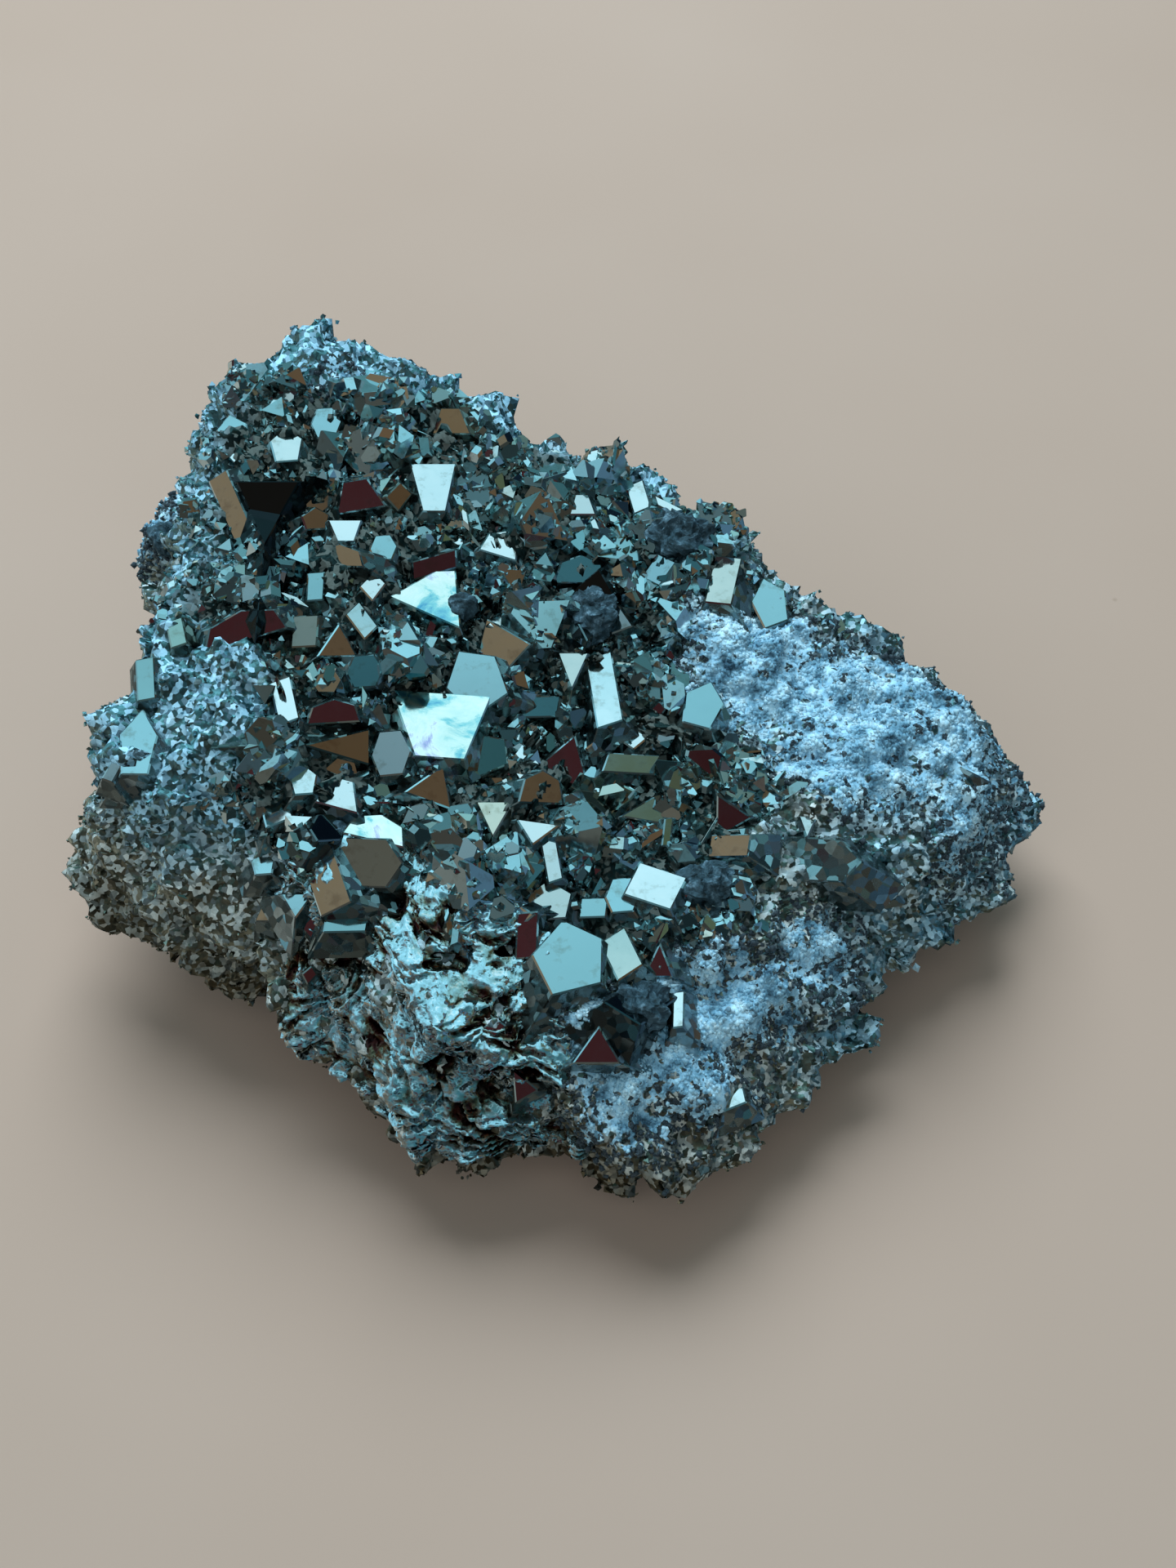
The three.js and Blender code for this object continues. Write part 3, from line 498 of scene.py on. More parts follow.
def lump_planes(discs, least, most, flat, draw):
    """One lump: corners moved by up to a fifth, squashed, turned to face out of the stone and sunk."""
    seat, out = lump_seat(discs, draw)
    width = least + (most - least) * draw(1)[0]
    corners = ICOSAHEDRON * (0.8 + 0.4 * draw(12))[:, None]
    spin, narrow = draw(2)
    corners = corners * width * np.array([1, 0.7 + 0.3 * narrow, flat])
    cos, sin = math.cos(TAU * spin), math.sin(TAU * spin)
    corners = corners @ np.array([[cos, -sin, 0], [sin, cos, 0], [0, 0, 1]]).T
    facing = np.array(Vector((0, 0, 1)).rotation_difference(Vector(out)).to_matrix())
    return hull_planes(corners @ facing.T + seat - LUMP_SINK * width * out)


lumps = [lump_planes(discs, least, most, flat, draw)
         for discs, count, least, most, flat in LUMPS for _ in range(count)]
print("lumps:", len(lumps), "faces of the first:", len(lumps[0][0]))


def rough_point(bearing, down):
    """The chunk draped over its lumps: from each point, outwards, to where the line leaves a lump's planes.
    The lift is worn down to the wear times the hyperbolic tangent of lift over wear, so that no lump ends
    in a horn."""
    points = chunk_point(bearing, down)
    out = unit(points - CORE)
    lift = np.zeros(points.shape[:-1])
    for planes, far in lumps:
        lean = out @ planes.T
        reach = (far - points @ planes.T) / np.where(abs(lean) < 1e-6, 1e-6, lean)
        leave = np.where(lean > 0, reach, 1e3).min(axis=-1)
        enter = np.where(lean <= 0, reach, -1e3).max(axis=-1)
        lift = np.where((enter < leave) & (leave > lift), leave, lift)
    return points + (LUMP_WEAR * np.tanh(lift / LUMP_WEAR))[..., None] * out


# %% [markdown]
# ## Noise
# Broken stone is rough at every size. Two patterns do most of it, both worked out in space, so they have no
# seam: soft lattice noise for swells and bent ridges, and a cellular pattern for grains, in which each
# grain is a small tilted facet of its own.


# %% Noise in space
def hashed(cell, seed):
    """A repeatable number from 0 to 1 for each whole-number cell: its three numbers times three large
    ones, mixed bit by bit, then stirred twice."""
    i, j, k = np.moveaxis(cell.astype(np.int64), -1, 0)
    h = ((i * 73856093) ^ (j * 19349663) ^ (k * 83492791) ^ (seed * 40503 + 12345)) & 0xFFFFFFFF
    h = ((h ^ (h >> 15)) * 0x2C1B3C6D) & 0xFFFFFFFF
    h = ((h ^ (h >> 12)) * 0x297A2D39) & 0xFFFFFFFF
    return (h ^ (h >> 15)) / 2**32


def noise(points, size, seed):
    """From -1 to 1, in blobs of about this size: numbers at the corners of a lattice, blended along each
    axis by 3t^2 - 2t^3."""
    place = points / np.array(size)
    cell = np.floor(place)
    t = place - cell
    t = t * t * (3 - 2 * t)
    total = 0
    for corner in np.ndindex(2, 2, 2):
        corner = np.array(corner)
        total = total + np.where(corner == 1, t, 1 - t).prod(axis=-1) * hashed(cell + corner, seed)
    return 2 * total - 1


def ridges(points, size, seed):
    """From -1 to 1 with sharp crests: 1 less four times the size of the noise, which is mostly under 0.5."""
    return np.clip(1 - 4 * abs(noise(points, size, seed)), -1, 1)


def facets(points, size, seed):
    """Tilted facets in millimetres: every cube of a lattice holds one grain's middle, each point belongs to
    the nearest, and its height there is the grain's own level plus its own slope times the way to it."""
    place = points / size
    cell = np.floor(place)
    nearest = np.full(place.shape[:-1], 9.0)
    height = np.zeros(place.shape[:-1])
    for step in np.ndindex(3, 3, 3):
        near = cell + np.array(step) - 1
        middle = np.stack([hashed(near, seed + i) for i in range(3)], -1)
        away = place - near - middle
        distance = np.linalg.norm(away, axis=-1)
        level = 0.7 * (hashed(near, seed + 3) - 0.5) + 1.3 * ((middle - 0.5) * away).sum(axis=-1)
        closer = distance < nearest
        nearest = np.where(closer, distance, nearest)
        height = np.where(closer, level, height)
    return size * height


def smoothstep(start, end, value):
    """0 before start, 1 after end, and 3t^2 - 2t^3 between."""
    t = np.clip((value - start) / (end - start), 0, 1)
    return t * t * (3 - 2 * t)


sample = np.random.default_rng(1).uniform(-20, 20, (2000, 3))
print("noise spread:", noise(sample, 3.0, 1).std().round(2), "facets:", facets(sample, 1.0, 2).std().round(2))

# %% [markdown]
# ## The stone's skin
# One closed grid is the whole stone under its crystals, on all sides. Each zone has its own breakage:
# soft sugar in the quartz, tilted grains in the granular pyrite, and a lower bed under the druse, which the
# finish paints darker as the shade between the crystals.
# How much of each zone a vertex has is stored on the mesh, so the material can follow the same borders.

# %% Zones
SIDE_QUARTZ = [[-13.2, 23.0, 2.4], [-27.2, 16.5, 3.0], [16.5, -15.6, 3.0], [27.4, -6.0, 3.8],
               [14.5, -21.0, 2.6]]
QUARTZ_BORDER = (1.0, -2.6)  # mm outside a disc: where the zone has ended, and where it is whole
TORN_BORDER = (0.8, -0.8)
DRUSE_BORDER = (-0.3, 0.5)  # the other way round, since the druse is what the discs leave free
QUARTZ_FOOT = (1.5, 1.15)  # the same in down
TORN_FOOT = (1.62, 1.45)
TORN_RIM = (0.9, 1.02)
DRUSE_RIM = (0.99, 0.88)
TORN_MIDDLE = 255  # bearing of the torn wall, degrees
TORN_ENDS = (24, 19)  # degrees to each side of it


def ragged_border(points):
    """Noise of two sizes, in mm, that frays the border of every zone."""
    return 0.9 * noise(points, 3.1, 11) + 0.7 * noise(points, 1.3, 12)


def near_front(points):
    """0 up to 12 mm in front of the middle and 1 from 15 mm on."""
    return smoothstep(-12, -15, points[..., 1])


def zones(points, down):
    """Shares of quartz, druse and torn metal. Each border is a disc's edge made ragged by noise. The front
    quartz is fuller, but broken up by a mottle."""
    ragged = ragged_border(points)
    front = near_front(points)
    quartz = smoothstep(*QUARTZ_BORDER, reach_of(QUARTZ + SIDE_QUARTZ, points) + 1.2 * ragged)
    quartz *= smoothstep(*QUARTZ_FOOT, down - 0.12 * ragged)
    mottled = smoothstep(0.25, -0.25, noise(points, 2.4, 13)) * front
    quartz = np.minimum(1, quartz * (1 + 0.5 * front - 0.5 * mottled))
    torn = smoothstep(*TORN_BORDER, reach_of(HACKLY, points) + ragged)
    bearing = np.degrees(np.arctan2(points[..., 1], points[..., 0])) % 360
    wall = smoothstep(*TORN_ENDS, abs(bearing - TORN_MIDDLE) + 3 * ragged) * smoothstep(*TORN_RIM, down)
    torn = np.maximum(torn, wall) * smoothstep(*TORN_FOOT, down + 0.06 * ragged)
    beds = smoothstep(*DRUSE_BORDER, reach_of(BARE_OF_DRUSE, points) + 0.5 * ragged)
    druse = beds * smoothstep(*DRUSE_RIM, down + 0.02 * ragged)
    return quartz, druse, torn * (1 - quartz)


def outward(grid, ring=True):
    """Unit normals of a grid that runs down, then round: the step down crossed with the step round."""
    around = np.roll(grid, -1, axis=1) - np.roll(grid, 1, axis=1) if ring else np.gradient(grid, axis=1)
    return unit(np.cross(np.gradient(grid, axis=0), around))


def stone_grid(bearing, down):
    """The draped chunk with its breakage along the normals, cut off flat where it stands on the table. Each
    pattern names its size in mm and its seed, and the factor beside it is how high it stands. The quartz
    stays low close to the principal crystals. In the creases between its clumps, most towards the front, its
    share is cut as painted shade, so that the creases come out darker."""
    points = rough_point(bearing, down)
    out = outward(points)
    quartz, druse, torn = zones(points, down + 0 * bearing)
    grain = facets(points, 2.3, 21) * 0.55 + facets(points, 1.05, 22) * 0.6 + ridges(points, 0.6, 23) * 0.08
    clumps = 1.4 * np.abs(noise(points, 2.4, 24))
    sugar = 0.8 * clumps - 0.14 + 0.16 * noise(points, 0.9, 25) + 0.1 * noise(points, 0.45, 26)
    blobs = 1.6 * np.abs(noise(points, 3.4, 30)) - 0.3
    sugar += 0.9 * blobs * near_front(points)
    clear = np.min([np.linalg.norm(points - centre, axis=-1) - 0.7 * size
                    for centre, size, _, _ in principal], axis=0)
    sugar = sugar * smoothstep(-0.3, 0.8, clear) - 0.3 * smoothstep(0.8, -0.3, clear)
    lift = grain * (1 - quartz) + sugar * quartz - 0.35 * druse - 0.5 * torn
    # painted shade: the quartz share is cut in the creases between clumps, most towards the front, to darken
    # them
    crease_shade = 0.45 * smoothstep(0.14, 0, clumps) * (0.4 + 0.6 * smoothstep(3, -2, points[..., 1]))
    quartz = quartz * (1 - crease_shade)
    points = points + lift[..., None] * out
    pits = 0.25 * np.clip(-noise(points, 1.1, 27) - 0.1, 0, 1) + 0.1 * np.clip(noise(points, 0.5, 28), 0, 1)
    points[..., 2] = np.maximum(points[..., 2], np.where(noise(points, 4.0, 29) > 0.1, 0, pits))
    return points, quartz, druse, torn


# %% A mesh from arrays
def quads(rows, columns, ring=True):
    """The corners of a grid's quads, each a step down and then a step round. A ring joins its last column
    to its first."""
    at = np.arange(rows * columns).reshape(rows, columns)
    right = np.roll(at, -1, axis=1)
    faces = np.stack([at[:-1], at[1:], right[1:], right[:-1]], -1)
    return (faces if ring else faces[:, :-1]).reshape(-1, 4).tolist()


def grid_faces(rows, columns):
    """Quads of a grid whose columns close into a ring, and a fan to one more point at each end."""
    first = np.arange(columns)
    last = first + (rows - 1) * columns
    fans = [np.stack([np.full(columns, rows * columns), first, np.roll(first, -1)], -1),
            np.stack([np.full(columns, rows * columns + 1), np.roll(last, -1), last], -1)]
    return quads(rows, columns) + np.concatenate(fans).tolist()


def shown(name, points, faces, smooth=False, **values):
    """An object at the origin from points in mm and faces, with each named value kept on its vertices, or
    on its faces where there is one for each face."""
    mesh = bpy.data.meshes.new(name)
    mesh.from_pydata((points * MM).tolist(), [], faces)
    for label, value in values.items():
        layer = mesh.attributes.new(label, "FLOAT", "POINT" if len(value) == len(points) else "FACE")
        layer.data.foreach_set("value", value.astype(np.float32).ravel())
    mesh.polygons.foreach_set("use_smooth", np.full(len(mesh.polygons), smooth))
    mesh.update()
    made = bpy.data.objects.new(name, mesh)
    bpy.context.scene.collection.objects.link(made)
    triangles = sum(len(f) - 2 for f in faces)
    print(f"{name}: {len(points)} points, {triangles} triangles")
    return made


# %% The skin itself
SKIN_COLUMNS = 450
SKIN_DOWN = np.concatenate([np.linspace(0.02, 1, 72), np.linspace(1, 2, 96)[1:],
                            np.linspace(2, 2.98, 36)[1:]])  # top, side and underside


def ringed(grid):
    """Grid values as one list, with the mean of the first and of the last ring added for the two ends."""
    rows = grid.reshape(len(grid), SKIN_COLUMNS, -1)
    flat = np.concatenate([rows.reshape(-1, rows.shape[-1]), rows[0].mean(0, keepdims=True),
                           rows[-1].mean(0, keepdims=True)])
    return flat if grid.ndim == 3 else flat[:, 0]


skin_bearing = TAU * np.arange(SKIN_COLUMNS)[None, :] / SKIN_COLUMNS
skin_points, skin_quartz_with_crease_shade, skin_druse, skin_torn = stone_grid(skin_bearing, SKIN_DOWN[:, None])
skin_out = outward(skin_points)
stone_skin = shown("stone_skin", ringed(skin_points), grid_faces(len(SKIN_DOWN), SKIN_COLUMNS), smooth=True,
                   quartz=ringed(skin_quartz_with_crease_shade), druse=ringed(skin_druse))

# %% [markdown]
# ## The torn front
# At the front the pyrite broke with a hackly fracture: bent foils that run sideways and catch the light
# along their edges. The skin's grid is too coarse for that, so a finer sheet covers this part alone. Its
# borders dive under the skin. The slope is cut into bent terraces of three sizes: each tread stands further
# out as it goes down, until it lies level and throws back the window, and then drops back in one step.

# %% The torn sheet
TORN_BEARING = np.radians(np.linspace(190, 300, 380))[None, :]
TORN_DOWN = np.linspace(0.62, 1.64, 230)[:, None]
TORN_RADIUS = 24  # turns bearing into millimetres sideways
TORN_HEIGHT = 21  # turns down into millimetres
TORN_TREAD = 0.85  # of the pitch of a terrace, before its step
TORN_STEEPNESS = (0.35, 1.3)  # least and greatest rise of a tread
TORN_RAISE, TORN_DIVE = 0.15, 1.3  # above the skin within the torn zone and below it outside
TORN_FLOOR = 0.1  # least height over the table


def foils(bearing, down, steepness):
    """Sawtooth terraces on a sheet of millimetres sideways and down, whose height is bent by noise. Each
    tooth rises by the slope's own steepness times its pitch, so its tread lies level, then falls back. The
    three sizes share the rise."""
    sheet = np.stack(np.broadcast_arrays(TORN_RADIUS * bearing, TORN_HEIGHT * down, 0.0), -1)
    bent = sheet[..., 1] + 1.8 * noise(sheet, (4.0, 2.6, 1), 31) + 1.0 * noise(sheet, (1.5, 1.2, 1), 32)
    lift = 0.1 * noise(sheet, (0.9, 0.7, 1), 36) + 0.05 * noise(sheet, (0.4, 0.3, 1), 37)
    lift = lift - 0.45 * smoothstep(0.1, 0.5, noise(sheet, (1.6, 1.0, 1), 38))
    for pitch, part, seed in ((1.5, 0.3, 33), (0.7, 0.3, 34), (0.35, 0.2, 35)):
        place = bent / pitch + 1.3 * noise(sheet, (1.5 * pitch, 1.3 * pitch, 1), seed)
        tooth = np.mod(place, 1)
        tooth = np.where(tooth < TORN_TREAD, tooth / TORN_TREAD, (1 - tooth) / (1 - TORN_TREAD)) - 0.5
        lift = lift + part * pitch * steepness * tooth
    return lift


torn_points = rough_point(TORN_BEARING, TORN_DOWN)
torn_share = zones(torn_points, TORN_DOWN + 0 * TORN_BEARING)[2]
torn_out = outward(torn_points, ring=False)
torn_level = torn_out[..., 2]
torn_steepness = np.clip(np.sqrt(1 - torn_level**2) / np.clip(torn_level, 0.1, 1), *TORN_STEEPNESS)
torn_relief = foils(TORN_BEARING, TORN_DOWN, torn_steepness)
torn_lift = torn_relief * torn_share + TORN_RAISE * torn_share - TORN_DIVE * (1 - torn_share)
torn_points = torn_points + torn_lift[..., None] * torn_out
torn_points[..., 2] = np.maximum(torn_points[..., 2], TORN_FLOOR)
torn_front = shown("torn_front", torn_points.reshape(-1, 3), quads(*torn_share.shape, ring=False),
                   smooth=True, height=torn_relief.ravel())

# %% [markdown]
# ## Crystals into meshes
# The principal crystals and those between become real meshes with true flat faces of three to seven sides.
# A narrow bevel on their edges gives the thin bright lines that a hard edge shows, because even a sharp
# crystal edge is slightly rounded. Each face of a principal crystal also keeps whether it is the mirror or
# a flank, since the flanks broke away from their neighbours and are rougher.


# %% Many copies of a few shapes
def gathered(shapes, kinds, widths, spins, centres):
    """All copies in one list of points: each shape scaled by its width, turned and moved. Returns points,
    faces, and the crystal's number for each point."""
    points, faces, member = [], [], []
    start = 0
    for kind, (corners, sides) in enumerate(shapes):
        pick = np.flatnonzero(kinds == kind)
        local = corners[None] * widths[pick, None, None]
        points.append((np.einsum("nij,nvj->nvi", spins[pick], local) + centres[pick, None]).reshape(-1, 3))
        member.append(np.repeat(pick, len(corners)))
        first = start + len(corners) * np.arange(len(pick))
        for side in sides:
            faces += (first[:, None] + side).tolist()
        start += len(corners) * len(pick)
    return np.concatenate(points), faces, np.concatenate(member)


def layout(points):
    """Across and up, as seen from the sight point and scaled to the distance of its aim."""
    lines = points - SIGHT
    lines = lines * (SIGHT_DISTANCE / -(lines @ TO_SIGHT))[..., None] + SIGHT - SIGHT_AIM
    return np.stack([lines[..., 0], lines @ SIGHT_UP], -1)


def over_mirrors(points, rows):
    """How far each point lies outside the nearest mirror's outline in the layout, negative inside: for a
    convex outline, the greatest distance beyond any of its edges."""
    place = layout(points)
    nearest = np.full(len(points), 99.0)
    for across, up, width, height, turn, shape, _ in rows:
        cos, sin = math.cos(math.radians(turn)), math.sin(math.radians(turn))
        outline = np.array(FACES[shape]) * [width, height]
        outline = outline @ np.array([[cos, sin], [-sin, cos]]) + [across, up]
        edge = unit(np.roll(outline, -1, axis=0) - outline)
        beyond = [(place - p) @ np.array([e[1], -e[0]]) for p, e in zip(outline, edge)]
        nearest = np.minimum(nearest, np.max(beyond, axis=0))
    return nearest


def face_crystals(rows):
    """Meshes of the crystals set by line of sight. Returns points, faces, the crystal's number for each
    point, and whether each face is the mirror, which is the first of its crystal."""
    points, faces, member, mirror = [], [], [], []
    start = 0
    for number, (_, _, planes, reach) in enumerate(rows):
        corners, sides = crystal(planes, reach)
        points.append(corners)
        member.append(np.full(len(corners), number))
        faces += [(start + side).tolist() for side in sides]
        mirror += [i == 0 for i in range(len(sides))]
        start += len(corners)
    return np.concatenate(points), faces, np.concatenate(member), np.array(mirror)


# %% Smaller mirrors, only for the look
ACCENTS = [  # in the same terms as the principal crystals
    [-28.6, 6.8, 1.3, 2.8, 5, "lath", "sky"], [-29.1, 2.7, 2.4, 4.4, -8, "pentagon", "sky"],
    [-30.5, 1.3, 0.8, 2.6, -28, "lath", "slate"], [-26.7, 12.3, 0.6, 1.9, 20, "lath", "bright"],
    [-26.6, 9.8, 1.2, 1.8, 15, "lath", "sky"], [-21.5, 9.1, 1.2, 0.8, -5, "lath", "bright"],
    [-21.0, -5.1, 1.5, 1.6, 0, "pentagon", "sky"], [9.4, -20.3, 1.8, 1.3, 20, "lath", "bright"],
    [3.2, 1.3, 4.4, 1.3, -4, "lath", "olive"], [4.6, 4.8, 1.1, 1.1, 0, "kite", "maroon"],
    [1.8, 11.2, 1.5, 2.6, 20, "triangle", "slate"], [-2.3, 11.1, 1.7, 1.9, 0, "kite", "tan"],
    [-5.1, 10.4, 2.4, 1.5, -25, "halfmoon", "bright"], [-3.2, 5.0, 2.9, 1.4, 0, "lath", "teal"],
    [8.3, -2.3, 0.18, 3.9, -31, "lath", "bright"], [0.8, 3.2, 3.0, 0.16, 2, "lath", "pale"],
    [0.2, -2.5, 0.5, 1.9, -20, "lath", "bright"], [5.2, -3.1, 0.6, 1.9, -5, "lath", "olive"],
    [9.3, -3.2, 2.1, 0.6, 5, "lath", "pale"], [-20.7, 17.6, 4.1, 4.0, 180, "triangle", "soot"],
    [0.3, 12.2, 2.7, 3.6, -10, "kite", "soot"], [24.2, 0.9, 1.7, 0.4, -27, "lath", "slate"],
    [19.2, -6.5, 1.5, 0.9, 10, "lath", "pale"], [-2.6, -13.4, 1.0, 1.9, 12, "lath", "maroon"],
    [-6.0, -15.8, 1.5, 1.2, 0, "kite", "maroon"], [-4.4, -19.4, 1.7, 2.0, 30, "triangle", "maroon"],
    [-18.0, -12.4, 1.0, 1.3, -10, "kite", "maroon"], [3.2, -14.9, 1.2, 1.3, 0, "kite", "pale"],
]
print("smaller mirrors:", len(ACCENTS))

# %% The large crystals as meshes
FILMS = {"glint": 1.0, "dark": -1.0, "soot": -1.0, "navy": -0.7}  # 1 rainbow film, -1 dark coat
HIDING = 0.15  # a crystal between stands before a mirror if it comes this close, as a share of its width
HIDING_WIDTH, HIDING_DROP = 0.45, 0.25  # such a crystal is this wide and this much lower, as shares


def films(rows, member):
    """The film on each point of the crystals of these rows."""
    return np.array([FILMS.get(gleam, 0.0) for *_, gleam in rows])[member]


chance = np.random.default_rng(11)
big_points, big_faces, big_member, big_mirror = face_crystals(principal)
big_mirror[np.flatnonzero(big_mirror)[-1]] = False  # the last one is a rough brown face
principal_crystals = shown("principal_crystals", big_points, big_faces, flank=1.0 - big_mirror,
                           tone=chance.random(len(PRINCIPAL))[big_member],
                           film=films(PRINCIPAL, big_member))
draw = stream(43)
accents = [face_crystal(row, ground, draw(2)) for row in ACCENTS]
more_points, more_faces, more_member, more_mirror = face_crystals(accents)
accent_crystals = shown("accent_crystals", more_points, more_faces, flank=1.0 - more_mirror,
                        tone=chance.random(len(ACCENTS))[more_member], film=films(ACCENTS, more_member))
over = over_mirrors(fill_centres, PRINCIPAL) < HIDING * fill_widths
fill_points, fill_faces, fill_member = gathered(
    fill_habits, fill_kinds, np.where(over, HIDING_WIDTH, 1) * fill_widths, fill_turns,
    fill_centres - np.outer(over * HIDING_DROP * fill_widths, [0, 0, 1]))
fill_crystals = shown("fill_crystals", fill_points, fill_faces,
                      tone=chance.random(len(fill_widths))[fill_member])

# %% [markdown]
# ## The druse's small crystals
# Every gap between the large crystals is packed with smaller ones, down to grains of sand. They are dropped
# onto what is already there, along the stone's own outward direction, and sink in by part of their width.
# A dropped crystal keeps clear of the large mirrors, also as seen along the line of sight, because a clean
# large face grew above its neighbours.


# %% Dropping crystals onto what is there
CLUSTERS = [  # rounded dull clusters that stay bare: x, y, z and half widths, mm
    [8.5, 11.7, 19.2, 2.1, 2.0, 1.7], [2.9, 6.0, 17.9, 1.7, 1.7, 1.3], [-5.4, 5.3, 19.3, 0.9, 0.8, 0.8],
    [-12.6, -11.6, 17.4, 1.0, 0.8, 0.7], [9.7, -12.9, 14.0, 1.8, 1.5, 1.3], [5.5, -20.7, 12.7, 1.8, 1.7, 1.5],
    [-26.0, 15.0, 16.0, 1.2, 1.2, 1.0],
]
RIM_NARROWING = 0.45  # crystals are smaller by this share at the rim
WIDE_CRYSTAL = 1.7  # from this width on, mm, a crystal keeps back from the rim
WIDE_EDGE, SMALL_EDGE = 0.9, 1.0  # down
DROP_FROM, DROP_FALL = 6, 9  # start above the seat and greatest fall, mm
CLEAN_MIRRORS = PRINCIPAL[:-1] + ACCENTS  # the last large one is rough, and grains may lie on it


def dropped(tree, chance, count, least, most, clear, spacing, sink):
    """Random places in plan, on the druse, where lines down onto the tree meet it. Widths lie between least
    and most and follow a falling power law. What comes closer to a mirror than clear, or to a larger one
    than spacing, is left out, and the rest sink in, all as shares of the width. Returns centres and
    widths."""
    x, y = chance.uniform(-PLAN_REACH, PLAN_REACH, (2, count))
    down = down_over(x, y)
    seats, out = seat_at(np.arctan2(y, x), down)
    widths = least + (most - least) * chance.random(count) ** 1.7
    widths *= 1 - RIM_NARROWING * smoothstep(0.78, 0.98, down)
    ragged = ragged_border(seats)
    beds = np.minimum(reach_of(QUARTZ + SIDE_QUARTZ + GRANULAR, seats), reach_of(HACKLY[:2], seats) + 1.6)
    beds = np.minimum(beds + 0.6 * ragged, reach_of([[x, y, w] for x, y, _, w, _, _ in CLUSTERS], seats))
    edge = np.where(widths > WIDE_CRYSTAL, WIDE_EDGE, SMALL_EDGE) + 0.04 * ragged
    good = np.flatnonzero((down < edge) & (beds > -0.2))
    hits = [tree.ray_cast(Vector(seats[i] + DROP_FROM * out[i]), Vector(-out[i]), DROP_FALL)[:2]
            for i in good]
    good = good[[hit is not None for hit, _ in hits]]
    hits = np.array([[*hit, *normal] for hit, normal in hits if hit is not None])
    centres = hits[:, :3] - sink * widths[good, None] * hits[:, 3:]
    tops = centres + 0.3 * widths[good, None] * out[good]
    free = over_mirrors(tops, CLEAN_MIRRORS) > clear * widths[good]
    centres, widths = centres[free], widths[good][free]
    order = np.argsort(-widths)
    if not spacing:
        return centres[order], widths[order]
    kept = []
    for i in order:
        gaps = np.linalg.norm(centres[kept] - centres[i], axis=1)
        if (gaps >= spacing * (widths[kept] + widths[i])).all():
            kept.append(i)
    return centres[kept], widths[kept]


# %% How they are turned
AIMS = {"bright": 24, "pale": 12, "sky": 12, "teal": 14, "slate": 12, "olive": 7, "tan": 4, "brown": 4,
        "maroon": 2, "navy": 6, "dark": 6}  # how often a small crystal's best face shows each gleam
GLEAM_SCATTER = 0.09  # in radians, 5 degrees
SLANT = [0.3, 0.8, 0.5]  # any direction that no face has
FLATNESS = 0.8  # thickness across the aimed face, as a share
BLADE_ODDS, BLADE_WIDTH = 0.2, 0.2  # one in five is a blade, a fifth as wide


def aimed(centres, share, chance):
    """Turns for crystals that grew with one octahedron face up to the light: the face's direction halves
    sight and a gleam, with some scatter, and the crystal turns freely about it and is stretched or narrowed
    along that face. The rest are turned at random."""
    count = len(centres)
    names = chance.choice(list(AIMS), count, p=np.array(list(AIMS.values())) / sum(AIMS.values()))
    thrown = np.array([direction(*GLEAMS[name]) for name in names])
    thrown = unit(thrown + GLEAM_SCATTER * chance.normal(size=(count, 3)))
    out = unit(thrown - unit(centres - SIGHT))
    side = unit(np.cross(out, SLANT))
    other = np.cross(out, side)
    angle = TAU * chance.random((count, 1))
    new = np.stack([out, side * np.cos(angle) + other * np.sin(angle),
                    other * np.cos(angle) - side * np.sin(angle)], -1)
    face = OCTAHEDRON[7]
    face_side = unit(np.cross(face, SLANT))
    old = np.stack([face, face_side, np.cross(face, face_side)], -1)
    narrow = np.exp(chance.normal(-0.15, 0.5, (2, count))).clip(0.3, 1.6)
    narrow[0] *= np.where(chance.random(count) < BLADE_ODDS, BLADE_WIDTH, 1)
    stretch = np.stack([np.full(count, FLATNESS), narrow[0], narrow[1]], -1)
    free = turns(*chance.random((3, count)))
    return np.where(chance.random((count, 1, 1)) < share, (new * stretch[:, None, :]) @ old.T, free)


# %% The small crystals, in three sizes
def merged(*parts):
    """Several lists of points and faces as one."""
    points, faces, start = [], [], 0
    for some_points, some_faces in parts:
        points.append(some_points)
        faces += [[start + i for i in face] for face in some_faces]
        start += len(some_points)
    return np.concatenate(points), faces


def tree_of(points, faces):
    """A search tree of these faces, for lines to meet."""
    return BVHTree.FromPolygons(points.tolist(), faces)


SHARP_FAR = np.array([0.34] * 8 + [0.5] * 3)  # from the middle of a crystal one unit wide


def sharp_habits(count, draw):
    """Octahedra with cut tips, each face moved by up to two fifths: triangles and irregular polygons."""
    return [crystal(HABIT_PLANES, SHARP_FAR * (0.6 + 0.8 * draw(len(SHARP_FAR)))) for _ in range(count)]


def chips(count, draw):
    """Octahedra one unit wide, each of the six corners moved in or out by up to a third: eight triangles."""
    corners = np.vstack([np.eye(3), -np.eye(3)]) * 0.5
    sides = [[0, 1, 2], [1, 3, 2], [3, 4, 2], [4, 0, 2], [1, 0, 5], [3, 1, 5], [4, 3, 5], [0, 4, 5]]
    return [(corners * (0.67 + 0.66 * draw(6))[:, None], [np.array(side) for side in sides])
            for _ in range(count)]


def strewn(name, tree, shapes, lit, **places):
    """Crystals of these shapes dropped onto a tree. A share of them is aimed, or if that is 0 all are turned
    at random. Returns the object, and its points and faces."""
    centres, widths = dropped(tree, chance, **places)
    kinds = chance.integers(0, len(shapes), len(widths))
    spins = aimed(centres, lit, chance) if lit else turns(*chance.random((3, len(widths))))
    points, faces, member = gathered(shapes, kinds, widths, spins, centres)
    return shown(name, points, faces, tone=chance.random(len(widths))[member]), (points, faces)


